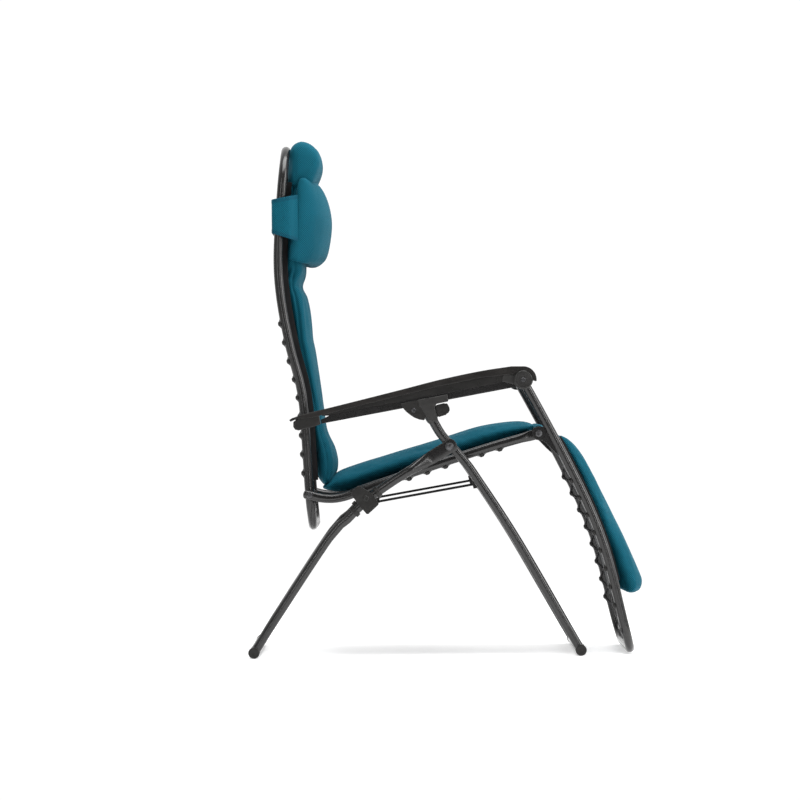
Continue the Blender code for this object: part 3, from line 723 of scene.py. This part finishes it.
def pivot_disc(label, side):
    """Round cover with a raised rim, a dished face and a hexagonal bolt head."""
    face = ARM_OUTER_Y - 0.3
    rim = [(20, face), (20, face + 1.6), (19.2, face + 2.3), (18, face + 2.3), (17.2, face + 1.5),
           (8.4, face + 1.3), (8, face + 2.0), (7.2, face + 2.2), (6.8, face + 1.6), (0.4, face + 1.6)]
    head = [(5.6, face + 1.6), (5.6, face + 3.4), (4.6, face + 4.2), (0.4, face + 4.3)]
    piece(f"pivot_bolt_{label}", *PLATED, "armrests", lambda m: turned(m, ARM_FRONT_PIVOT, head, side, 6))
    piece(f"pivot_cover_{label}", CLAMP_PLASTIC, "armrest_plastic", "armrests",
          lambda m: turned(m, ARM_FRONT_PIVOT, rim, side, 48), [f"armrest_pivot_disc_{label}"], angle=30)


def slider_housing(label, side):
    """Block that slides under the armrest, grooved for the rail, with a saddle and a screw outside."""
    outline = [(-104, 556.5), (-98, 546.5), (-91.4, 538.8), (-82, 531), (-73, 525), (-62, 520.8),
               (-51.5, 519), (-40.7, 536.5), *along_arm((272, -0.5))]
    slot = along_arm((190, -13.8), (320, -13.8), (320, 20), (190, 20))
    cut = piece(f"cut_{label}", PLASTIC, "black_plastic", None,
                lambda m: plate(m, slot, side, SLIDER_GROOVE_Y))
    housing = piece(f"slider_block_{label}", PLASTIC, "black_plastic", "sliders",
                    lambda m: plate(m, outline, side, SLIDER_Y), [f"slider_housing_{label}"])
    modify(housing, "groove", "BOOLEAN", object=cut)
    apply_modifiers(housing)
    bpy.data.objects.remove(cut)
    modify(housing, "rim", "BEVEL", width=1.6 * MM, segments=3, limit_method="ANGLE", angle_limit=RIM_ANGLE)

    saddle = [*along_arm((253, -0.4), (253, -16), (257, -19), (266, -46)), (-43, 517), (-23, 517),
              (-21, 520), *along_arm((286, -22), (292, -17), (318, -16.4), (319, -0.4))]
    piece(f"slider_saddle_{label}", CLAMP_PLASTIC, "black_plastic", "sliders",
          lambda m: plate(m, saddle, side, SADDLE_Y), bevel=1.6)

    screw = [(5, 333), (5, 334.4), (4.2, 335.2), (2.2, 335.3), (2.0, 334.4), (0.3, 334.3)]
    piece(f"slider_screw_{label}", *PLATED, "sliders", lambda m: turned(m, (-74, 541), screw, side, 24))


def lock_lever(label, side):
    """Thumb lever with finger ribs."""
    outline = [(-27, 549), (-16, 553), (-3, 556), (0, 555), (4, 547), (5, 541), (2, 535.5), (-6, 530),
               (-19, 526), (-21, 528), (-25, 540)]

    def build(m):
        plate(m, outline, side, LEVER_Y)
        for i in range(4):
            x = -4 - 6 * i
            z = 531.4 - 1.3 * i
            rib = [(x - 1.2, z + 2), (x - 0.8, z - 1.6), (x + 0.8, z - 1.6), (x + 1.2, z + 2)]
            plate(m, rib, side, LEVER_RIB_Y)

    piece(f"lock_thumb_lever_{label}", PLASTIC, "black_plastic", f"lock_{label}", build,
          [f"lock_lever_{label}"], bevel=1.2)


def leg_top_socket(label, side):
    path = in_plane(smooth_curve([(-31, 515), (-36, 528), (-45, 549)], 4), side * FRONT_LEG_Y)
    sizes = [(12.5, 12.0)] * len(path)
    sizes[0] = (10.8, 10.8)
    sizes[1] = (12.0, 11.7)
    sizes[-1] = (11.4, 11.0)

    def build(m):
        sweep(m, path, sizes)
        turned(m, (-43, 541), [(9, 306.5), (9, 308.4), (7.5, 309.2), (0.4, 309.2)], side, 24)

    piece(f"leg_top_sleeve_{label}", CLAMP_PLASTIC, "black_plastic", "front_legs", build,
          [f"leg_top_socket_{label}"])


def seat_bracket(label, side):
    """Clamp block on the rear leg with a collar at each mouth and a screw."""
    outline = [(-212, 361), (-209, 366), (-199, 376), (-194, 376.5), (-168, 360.5), (-165, 357),
               (-152.5, 339), (-153, 335), (-175, 315), (-179, 315), (-197, 336), (-211, 356)]
    mouths = ((Vector((-207, 0, 321.5)), Vector((0.7, 0, 0.71))),
              (Vector((-151, 0, 364)), Vector((0.8, 0, 0.6))))
    screw = [(6.4, 332), (6.4, 333.2), (5.2, 334.2), (2.4, 334.3), (2.2, 333.4), (0.4, 333.3)]
    path = in_plane(smooth_curve(REAR_LEG[2:], 8), side * REAR_LEG_Y)

    def build(m):
        plate(m, outline, side, CLAMP_Y)
        for at, way in mouths:
            centre = min(path, key=lambda p: (Vector((p.x, 0, p.z)) - at).length)
            sweep(m, [centre - way * 5, centre - way * 4.2, centre + way * 4.2, centre + way * 5],
                  [(12.4, 12.4), (13.2, 13.2), (13.2, 13.2), (12.4, 12.4)])
        turned(m, SEAT_PIVOT, screw, side, 28)

    piece(f"leg_clamp_{label}", PLASTIC, "black_plastic", "rear_legs", build, [f"seat_bracket_{label}"],
          bevel=1.6)


def leg_pivot(label, side):
    """Domed rivet and washer at the crossing of the legs."""
    outer = FRONT_LEG_Y + TUBE_R + 4.6
    profile = [(3, 283), (6, 283.6), (6.6, 285), (6.6, 285.9), (3.9, 285.9), (3.9, outer), (9.6, outer),
               (9.6, outer + 0.8), (7.6, outer + 1.0), (7.2, outer + 2.4), (5.4, outer + 3.6),
               (2.6, outer + 4.2), (0.3, outer + 4.3)]
    piece(f"leg_rivet_{label}", *PLATED, "rear_legs", lambda m: turned(m, LEG_PIVOT, profile, side),
          [f"leg_pivot_rivet_{label}"], angle=30)


def finish_cad_nodes():
    """Bolts, pins and clips keep their CAD shape and get a softened rim and a real material."""
    for node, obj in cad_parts.items():
        if "bolt" in node or "pin" in node:
            finish = ZINC
        elif "clip" in node:
            finish = PLASTIC
        else:
            continue
        obj.data.materials.clear()
        obj.data.materials.append(finish)
        modify(obj, "weld", "WELD", merge_threshold=0.02 * MM)
        modify(obj, "rim", "BEVEL", width=0.4 * MM, segments=2, limit_method="ANGLE")


def build_plastics():
    for label, side in SIDES:
        for build in (armrest, armrest_rail, armrest_end_cap, pivot_disc, slider_housing, lock_lever,
                      leg_top_socket, seat_bracket, leg_pivot):
            build(label, side)
    finish_cad_nodes()


# ---------------------------------------------------------------- slings and lacing


def sling(name, node, line_points, start, end, half_width, body, laces):
    """Coated cloth with rolled hems along its sides."""
    line = smooth_curve(line_points, SLING_STEP)
    steps = round((end - start) / 10)
    across = 24

    def build(m):
        sheets = []
        for lift in (0.8, -0.8):
            rows = []
            for i in range(steps + 1):
                point, direction = point_along(line, start + (end - start) * i / steps)
                normal = Vector((-direction.y, direction.x))
                rows.append([m.verts.new((point.x + normal.x * lift, half_width * (2 * k / across - 1),
                                          point.y + normal.y * lift)) for k in range(across + 1)])
            sheets.append(rows)
        upper, lower = sheets
        strips = [pair for rows in sheets for pair in zip(rows, rows[1:])]
        strips += [(upper[end], lower[end]) for end in (0, -1)]
        strips += [([row[k] for row in upper], [row[k] for row in lower]) for k in (0, across)]
        for low, high in strips:
            for corners in zip(low, low[1:], high[1:], high):
                m.faces.new(corners)
        for _, side in SIDES:
            hem = []
            for i in range(steps + 1):
                point, _ = point_along(line, start + (end - start) * i / steps)
                hem.append(Vector((point.x, side * (half_width - 1.6), point.y)))
            sweep(m, hem, sides=10, radius=2.0)

    sheet = piece(name, SLING, "black_sling", body, build, [node])


def eyelets(name, line_points, start, end, phase, half_width, body):
    """Pressed steel rings along both edges of a sling."""
    line = smooth_curve(line_points, SLING_STEP)

    def build(m):
        distance = phase
        while distance < end - 4:
            if distance > start + 4:
                point, direction = point_along(line, distance)
                along = Vector((direction.x, 0, direction.y))
                for _, side in SIDES:
                    centre = Vector((point.x, side * (half_width - 7), point.y))
                    turns = [math.tau * i / 20 for i in range(20)]
                    ring = [centre + along * (3.6 * math.cos(turn)) + Vector((0, 3.6 * math.sin(turn), 0))
                            for turn in turns]
                    sweep(m, ring, closed=True, sides=8, radius=1.5)
            distance += LACE_PITCH

    piece(name, *PLATED, body, build)


def lacing(name, node, line_points, y, side, start, end, reach, body, under):
    """Elastic cord from the sling's eyelets round the far side of a tube, held there by studs.

    under says which side of the tube the cord goes round: 1 behind back and legrest, -1 below the seat.
    """
    line = smooth_curve(line_points, SLING_STEP)
    turns = int((end - start) / LACE_PITCH)
    per_turn = 28
    path = []
    for i in range(turns * per_turn + 1):
        share = i / per_turn
        point, direction = point_along(line, start + share * LACE_PITCH)
        angle = under * LACE_SWEEP * (0.5 - 0.5 * math.cos(math.tau * share))
        inner = max(0.0, math.cos(angle)) ** 10
        radius = TUBE_R + LACE_R + (reach - TUBE_R - LACE_R) * inner
        normal = Vector((-direction.y, 0, direction.x))
        centre = Vector((point.x, side * y, point.y))
        path.append(centre + Vector((0, -side, 0)) * (radius * math.cos(angle))
                    + normal * (radius * math.sin(angle)))
    piece(name, CORD, "elastic_cord", body, lambda m: sweep(m, path, sides=8, radius=LACE_R), [node])

    def build_studs(m):
        for i in range(turns):
            point, direction = point_along(line, start + (i + 0.5) * LACE_PITCH)
            out = Vector((-direction.y, 0, direction.x)) * under
            foot = Vector((point.x, side * y, point.y)) + out * (TUBE_R - 1)
            stations = [foot, foot + out * 3.2, foot + out * 5.2, foot + out * 6.4]
            sweep(m, stations, [(6.2, 6.8), (6.0, 6.6), (4.8, 5.2), (2.2, 2.6)], sides=20)

    piece(f"{name}_studs", PLASTIC, "elastic_cord", body, build_studs)


def sling_side_and_shade_strips(name, line_points, half_width, span, depths, body):
    """Near-black side strips in the gap between a sling and the cover on it: partly the sling's black side,
    partly painted shade that stands for the shadow there and hides the far tube.
    """
    line = smooth_curve(line_points, SLING_STEP)
    count = 50

    def build(m):
        for _, side in SIDES:
            rings = []
            for i in range(count + 1):
                share = i / count
                point, direction = point_along(line, span[0] + (span[1] - span[0]) * share)
                normal = Vector((-direction.y, direction.x))
                wave = 1.2 * math.sin(share * 31) + 0.8 * math.sin(share * 57 + 1)
                near, far = depths
                ring = []
                for depth, y in ((near, half_width), (far, half_width - 3), (far, half_width - 7),
                                 (near, half_width - 4)):
                    ring.append(m.verts.new((point.x + normal.x * depth, side * (y + wave),
                                             point.y + normal.y * depth)))
                rings.append(ring)
            skin(m, rings)

    piece(name, SLING_SIDE_AND_PAINTED_SHADE, "black_sling", body, build, bevel=0.8)


def build_laced(part, line_points, y, span, lace_span, half_width, body, under=1):
    """The sling of one section of the chair with its eyelets and both cords."""
    cords = []
    for label, side in SIDES:
        cord = f"{part}_cord_{label}"
        lacing(cord, f"{part}_lacing_{label}", line_points, y, side, *lace_span, y - half_width + 7, body,
               under)
        cords.append(cord)
    sling(f"{part}_cloth", f"{part}_sling", line_points, *span, half_width, body, cords)
    eyelets(f"{part}_eyelets", line_points, *span, lace_span[0], half_width, body)


def build_slings():
    seat_length = line_length(smooth_curve(SEAT_TUBE, 12))
    back_length = line_length(smooth_curve(BACK_TUBE, 12))
    legrest_length = line_length(smooth_curve(LEGREST_TUBE, 12))
    build_laced("seat", SEAT_TUBE, SEAT_Y, (50, seat_length - 25), (172, seat_length - 60),
                SEAT_SLING_HALF, "seat", -1)
    build_laced("back", BACK_TUBE, BACK_Y, (95, back_length - 62), (95.9, 482), BACK_SLING_HALF, "backrest")
    build_laced("legrest", LEGREST_TUBE, LEGREST_Y, (110, legrest_length - 165), (80, legrest_length - 200),
                LEGREST_SLING_HALF, "legrest")
    # Near-black strips painted as the shade between each tube and its cover, over the sling's black side
    sling_side_and_shade_strips("back_sling_side_and_shade", BACK_TUBE, 206, (100, back_length - 70), (-1.5, -21), "backrest")
    sling_side_and_shade_strips("legrest_sling_side_and_shade", LEGREST_TUBE, 212, (150, legrest_length - 150), (-1.5, -16), "legrest")


# ---------------------------------------------------------------- padded covers


def loft_pad(mesh_data, rear, front, half_width, around=64, end_share=0.05):
    """A pad between a rear and a front line in side view: crowned across, with soft sides and ends."""
    count = len(rear)
    rings = []
    for i in range(count):
        share = i / (count - 1)
        near = min(share, 1 - share) / end_share
        end = math.sqrt(1 - (1 - near) ** 2) if near < 1 else 1.0
        end = max(end, 0.12)
        middle = (rear[i] + front[i]) / 2
        half = (front[i] - rear[i]) / 2 * end
        width = half_width * (0.965 + 0.035 * end)
        ring = []
        for k in range(around):
            angle = math.tau * (k + 0.5) / around
            c, s = math.cos(angle), math.sin(angle)
            y = width * math.copysign(abs(c) ** 0.42, c)
            rise = math.copysign(max(0.0, 1 - abs(y / width) ** 5) ** 0.42, s)
            ring.append(mesh_data.verts.new((middle.x + half.x * rise, y, middle.y + half.y * rise)))
        rings.append(ring)
    skin(mesh_data, rings)


def inflate(obj, pressure, cap):
    """Lets the cover swell as cloth, and keeps each point within cap of where it was."""
    scene = bpy.context.scene
    rest = [v.co.copy() for v in obj.data.vertices]
    cloth = modify(obj, "cloth", "CLOTH")
    for key, value in CLOTH.items():
        setattr(cloth.settings, key, value)
    cloth.settings.uniform_pressure_force = pressure
    cloth.settings.effector_weights.gravity = 0
    cloth.point_cache.frame_start = 1
    cloth.point_cache.frame_end = SWELL_FRAMES
    for number in range(1, SWELL_FRAMES + 1):
        scene.frame_set(number)
    graph = bpy.context.evaluated_depsgraph_get()
    swollen = [v.co.copy() for v in obj.evaluated_get(graph).data.vertices]
    obj.modifiers.remove(cloth)
    scene.frame_set(1)
    for vertex, before, after in zip(obj.data.vertices, rest, swollen):
        move = after - before
        if move.length > cap * MM:
            move *= cap * MM / move.length
        vertex.co = before + move


def remesh(obj, size):
    """Even faces all over the pad, which cloth needs."""
    modify(obj, "remesh", "REMESH", mode="VOXEL", voxel_size=size * MM)
    apply_modifiers(obj)


def smooth(obj, rounds):
    modify(obj, "smooth", "SMOOTH", factor=0.5, iterations=rounds)
    apply_modifiers(obj)


def move_along_normals(obj, amount):
    """Moves each point along its normal by amount(place), both in millimetres."""
    mesh = obj.data
    normals = [v.normal.copy() for v in mesh.vertices]
    for vertex, normal in zip(mesh.vertices, normals):
        vertex.co += normal * (amount(vertex.co / MM) * MM)
    mesh.update()


def dress(pad, node, body, folds):
    """Divides a swollen cover once, folds it, gives it its cloth and fixes it to a body."""
    modify(pad, "divide", "SUBSURF", levels=1, render_levels=1)
    apply_modifiers(pad)
    move_along_normals(pad, folds)
    pad.data.materials.clear()
    pad.data.materials.append(TEAL)
    pad.data.shade_smooth()
    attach(pad, body)
    if node:
        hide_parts(node)


def finish_cover(pad, node, body, voxel, swell, folds):
    """Remeshes a cover, lets it swell as cloth, smooths it and gives it its folds."""
    remesh(pad, voxel)
    smooth(pad, 3)
    inflate(pad, 4.0, swell)
    smooth(pad, 2)
    dress(pad, node, body, folds)


def cushion(name, node, body, rear, front, stations, swell, folds):
    """A padded cover between a rear and a front line in side view."""
    rear_line = resample(rear, stations)
    front_line = resample(front, stations)
    pad = piece(name, *PADDING, None, lambda m: loft_pad(m, rear_line, front_line, COVER_HALF))
    finish_cover(pad, node, body, 6.0, swell, folds)
    return pad


def crossing(line, height):
    """x where a side view line that runs upwards passes a height."""
    for a, b in zip(line, line[1:]):
        if a[1] <= height <= b[1]:
            return a[0] + (b[0] - a[0]) * (height - a[1]) / (b[1] - a[1])
    return line[0][0] if height < line[0][1] else line[-1][0]


BACK_REAR = [(-272, 364), (-284, 390), (-294, 477), (-312, 577), (-338, 687), (-357, 798), (-362, 860),
             (-362, 920), (-354, 1010), (-346, 1062)]
BACK_FRONT = [(-258, 372), (-251, 400), (-249, 428), (-257, 461), (-273, 497), (-280, 548), (-298, 676),
              (-303, 698), (-307, 754), (-316, 798), (-325, 812), (-328, 820), (-324, 832), (-318, 848),
              (-318, 880), (-322, 950), (-316, 1062)]


def fold_noise(place, stretch, size):
    """Smooth noise between -1 and 1, stretched along the axes."""
    return noise.noise(Vector((place.x * stretch[0], place.y * stretch[1], place.z * stretch[2])) / size)


def back_folds(place):
    """A long fold between side and front panel, soft folds beside it, and gathers under the pillow."""
    place = place - Vector((CENTRE_X, 0, 0))
    side = rise(abs(place.y), 150, 45)
    rear = crossing(BACK_REAR, place.z)
    depth = (place.x - rear) / max(8.0, crossing(BACK_FRONT, place.z) - rear)
    seam = 0.56 + 0.09 * math.sin(place.z / 62)
    ridge = 3.2 * math.exp(-((depth - seam - 0.22) / 0.15) ** 2)
    fold = ridge - 4.2 * math.exp(-((depth - seam) / 0.08) ** 2)
    long_fold = fold_noise(place, (1.6, 1.0, 0.22), 26)
    gather = math.exp(-((place.z - 838) / 26) ** 2) * math.sin((place.z - 2.2 * place.x) / 5.5)
    return 1.0 * long_fold + side * (fold + 2.6 * long_fold + 1.6 * gather)


def panel_folds(place, stretch, size, pucker_stretch, pucker_size, depth):
    """Long folds all over a panel, deeper and with puckers towards its sides."""
    long_fold = fold_noise(place, stretch, size)
    pucker = fold_noise(place, pucker_stretch, pucker_size)
    return 0.8 * long_fold + rise(abs(place.y), 130, 60) * (depth * long_fold + 1.0 * pucker)


def seat_folds(place):
    return panel_folds(place, (0.25, 1.0, 1.2), 30, (1.4, 1, 1), 15, 3.2)


def legrest_folds(place):
    return panel_folds(place, (1.0, 1.0, 0.25), 32, (1, 1, 1.3), 17, 3.0)


def back_cushion():
    pad = cushion("back_cushion", "back_pad", "backrest", BACK_REAR, BACK_FRONT, 90, 4, back_folds)
    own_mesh(pad)


def top_roll():
    """Bolster along the top of the back."""
    outline = [(-348, 1030), (-346, 1060), (-341, 1119), (-337, 1132), (-328, 1138.5), (-317, 1140.5),
               (-300, 1134.5), (-284, 1118), (-277, 1097), (-280, 1077), (-288, 1059), (-294, 1046),
               (-312, 1034), (-330, 1028)]
    ring = resample(outline + outline[:1], 49)[:-1]
    middle = sum(ring, Vector((0, 0))) / len(ring)

    def build(m):
        rows = []
        half = [(COVER_HALF, 0.62), (202, 0.76), (198, 0.87), (191, 0.945), (182, 0.985), (170, 1.0)]
        levels = [(-y, scale) for y, scale in half]
        levels += [(-153 + 17 * i, 1.0) for i in range(19)]
        levels += half[::-1]
        for y, scale in levels:
            rows.append([m.verts.new((blend(middle.x, p.x, scale), y, blend(middle.y, p.y, scale)))
                         for p in ring])
        skin(m, rows)

    roll = piece("top_roll", *PADDING, None, build)
    remesh(roll, 5.0)
    inflate(roll, 3.0, 3)
    smooth(roll, 6)
    dress(roll, None, "backrest", lambda p: 0.9 * fold_noise(p, (1, 0.5, 1), 24))


def seat_cushion():
    under = [(-290, 364), (-250, 365), (-213, 369), (-180, 381), (66, 455), (150, 480), (200, 497)]
    over = [(-286, 372), (-262, 386), (-240, 401), (-194, 417), (-149, 431), (-23, 468), (55, 493),
            (106, 504), (157, 510), (192, 511), (206, 505)]
    pad = cushion("seat_cushion", "seat_pad", "seat", under, over, 70, 5, seat_folds)
    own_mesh(pad)


def legrest_cushion():
    rear = [(238, 490), (272, 424), (314, 334), (342, 260), (364, 196), (378, 150), (386, 136)]
    front = [(246, 490), (270, 469), (294, 439), (315, 401), (345, 340), (390, 247), (424, 168), (433, 148),
             (431, 133), (416, 121)]
    cushion("legrest_cushion", "legrest_pad", "legrest", rear, front, 64, 6, legrest_folds)


def knee_roll():
    """Padded knuckle round the knee axle, so that the covers of seat and legrest stay joined as they turn."""
    radius = 13.0

    def build(m):
        path = [Vector((KNEE_PIVOT[0] + 2, y, KNEE_PIVOT[1] + 7)) for y in range(-200, 201, 20)]
        sizes = [(radius, radius)] * len(path)
        sizes[0] = (radius * 0.8, radius * 0.8)
        sizes[-1] = sizes[0]
        sweep(m, path, sizes, sides=40)

    roll = piece("knee_roll", *PADDING, "seat", build)
    move_along_normals(roll, lambda p: 0.5 * fold_noise(p, (1, 0.6, 1), 22))


def head_pillow():
    """Soft pillow that bulges forward, with ends drawn back round the pad to its strap."""
    front = resample([(-296, 860), (-284, 865), (-270, 884), (-261, 920), (-257, 964), (-264, 1006),
                      (-280, 1042), (-297, 1053), (-314, 1058)], 34)
    half_width = 219.0
    across = 40
    wing = 11.0

    def build(m):
        rings = []
        for i, p in enumerate(front):
            share = i / (len(front) - 1)
            tip = -352 + 27 * share
            rear = min(-313.0, p.x - 23.0)
            drop = 0.3 * (1 - share) ** 2
            ring = []
            for k in range(across + 1):
                y = half_width * math.sin(math.pi / 2 * (2 * k / across - 1))
                bulge = max(0.0, 1 - (abs(y) / half_width) ** 2.7) ** 0.5
                x = tip + wing + (p.x - tip - wing) * bulge
                ring.append(m.verts.new((x, y, p.y + drop * (p.x - x))))
            for k in range(across, -1, -1):
                y = half_width * math.sin(math.pi / 2 * (2 * k / across - 1))
                x = blend(rear, tip, rise(abs(y), 160, 52))
                ring.append(m.verts.new((x, y, p.y + drop * (p.x - x))))
            rings.append(ring)
        skin(m, rings)

    def folds(place):
        side = rise(abs(place.y), 150, 60)
        return 0.6 * fold_noise(place, (1, 1, 0.4), 34) + side * 1.5 * fold_noise(place, (1.2, 0.5, 0.7), 24)

    pillow = piece("pillow", *PADDING, None, build)
    finish_cover(pillow, "head_pillow", "head_rest", 4.5, 3, folds)


def head_strap():
    """Hemmed band round the back of the frame."""
    corners = [(-327, 222), (-333, 227), (-342, 241), (-352, 245.6), (-373, 245.6), (-381, 242),
               (STRAP_REAR_X, STRAP_HALF)]
    half = [Vector(p) for p in resample(corners, 24)]
    rear = [Vector((STRAP_REAR_X, STRAP_HALF - 2 * STRAP_HALF * i / 24)) for i in range(1, 24)]
    line = half + rear + [Vector((p.x, -p.y)) for p in half[::-1]]
    count = len(line)

    def edges(i):
        """Lowest and highest point of the band, which widens from the tube to the pillow."""
        wide = max(0.0, (line[i].x - STRAP_REAR_X) / 44)
        return (934 - 14 * wide, 1008 + 8 * wide)

    def ribbon(m, low_of, high_of, thickness):
        rings = []
        for i, p in enumerate(line):
            before = line[max(0, i - 1)]
            after = line[min(count - 1, i + 1)]
            out = Vector((-(after - before).y, (after - before).x)).normalized()
            low, high = low_of(i), high_of(i)
            ring = []
            for z, lift in ((low, 0), (low + 1, 1), (high - 1, 1), (high, 0), (high - 1, -1), (low + 1, -1)):
                ring.append(m.verts.new((p.x + out.x * lift * thickness, p.y + out.y * lift * thickness, z)))
            rings.append(ring)
        skin(m, rings)

    strap = piece("pillow_strap", *PADDING, "head_rest",
                  lambda m: ribbon(m, lambda i: edges(i)[0], lambda i: edges(i)[1], 0.7), ["head_strap"])

    def hems(m):
        ribbon(m, lambda i: edges(i)[0] - 0.3, lambda i: edges(i)[0] + 9, 1.1)
        ribbon(m, lambda i: edges(i)[1] - 9, lambda i: edges(i)[1] + 0.3, 1.1)

    piece("pillow_strap_hems", TEAL_TRIM, "teal_mesh", "head_rest", hems)


def build_covers():
    seat_cushion()
    back_cushion()
    legrest_cushion()
    knee_roll()
    top_roll()
    head_pillow()
    head_strap()


# ---------------------------------------------------------------- studio


FLOOR_HALF = 4.0
FLOOR_Z = -0.0004
# Name, place, target, size in metres and power in watts of each light
SOFTBOXES = (("top_softbox", (0.2, -0.6, 3.0), (0, 0, 0.5), (2.4, 1.6), 90),
             ("front_softbox", (3.0, -1.1, 1.9), (0, 0, 0.6), (0.9, 2.2), 60),
             ("side_softbox", (-1.6, -3.2, 1.6), (0, 0, 0.6), (0.26, 2.6), 22),
             ("edge_softbox", (1.9, -3.6, 1.0), (0, 0, 0.6), (0.2, 2.4), 24))
# Strength of the light from around, from the camera's side (-Y) to the far side
WORLD_RANGE = (("From Min", -0.75), ("From Max", 0.6), ("To Min", 0.05), ("To Max", 1.05))
SENSOR_MM = 36
LENS_MM = 245.5
CAMERA_PLACE = (-0.0998, -12.27, 0.564)
CAMERA_TILT = math.radians(90)
CAMERA_ROLL = math.radians(0.438)


def build_floor(scene):
    mesh = bpy.data.meshes.new("floor")
    corners = [(x * FLOOR_HALF, y * FLOOR_HALF, FLOOR_Z) for x, y in ((-1, -1), (1, -1), (1, 1), (-1, 1))]
    mesh.from_pydata(corners, [], [(0, 1, 2, 3)])
    pale = Tree("pale_floor")
    inputs = pale.shader.inputs
    speck = pale.noise(3, 4)
    pale.put(pale.ramp(speck, [(0.2, (0.86, 0.86, 0.86)), (0.8, (0.9, 0.9, 0.9))]), inputs["Base Color"])
    inputs["Roughness"].default_value = 0.85
    inputs["Emission Color"].default_value = (1, 1, 1, 1)
    inputs["Emission Strength"].default_value = 0.42
    mesh.materials.append(pale.material)
    floor = bpy.data.objects.new("floor", mesh)
    scene.collection.objects.link(floor)


def build_world(scene):
    world = bpy.data.worlds.new("studio")
    world.use_nodes = True
    tree = world.node_tree
    background = tree.nodes["Background"]
    direction = tree.nodes.new("ShaderNodeTexCoord")
    split = tree.nodes.new("ShaderNodeSeparateXYZ")
    tree.links.new(direction.outputs["Generated"], split.inputs[0])
    strength = tree.nodes.new("ShaderNodeMapRange")
    for name, value in WORLD_RANGE:
        strength.inputs[name].default_value = value
    tree.links.new(split.outputs[1], strength.inputs["Value"])
    tree.links.new(strength.outputs[0], background.inputs["Strength"])
    background.inputs["Color"].default_value = (1, 1, 1, 1)
    scene.world = world


def build_studio():
    scene = bpy.context.scene
    scene.view_settings.view_transform = "Standard"
    build_floor(scene)
    build_world(scene)
    for name, place, target, size, watts in SOFTBOXES:
        light = bpy.data.lights.new(name, "AREA")
        light.shape = "RECTANGLE"
        light.size, light.size_y = size
        light.energy = watts
        lamp = bpy.data.objects.new(name, light)
        lamp.location = place
        lamp.rotation_euler = (Vector(target) - Vector(place)).to_track_quat("-Z", "Y").to_euler()
        scene.collection.objects.link(lamp)
    lens = bpy.data.cameras.new("camera")
    lens.sensor_width = SENSOR_MM
    lens.lens = LENS_MM
    lens.clip_end = 100
    camera = bpy.data.objects.new("camera", lens)
    camera.location = CAMERA_PLACE
    camera.rotation_euler = (CAMERA_TILT, CAMERA_ROLL, 0)
    scene.collection.objects.link(camera)
    scene.camera = camera


build_studio()
build_frames()
build_plastics()
build_slings()
build_covers()
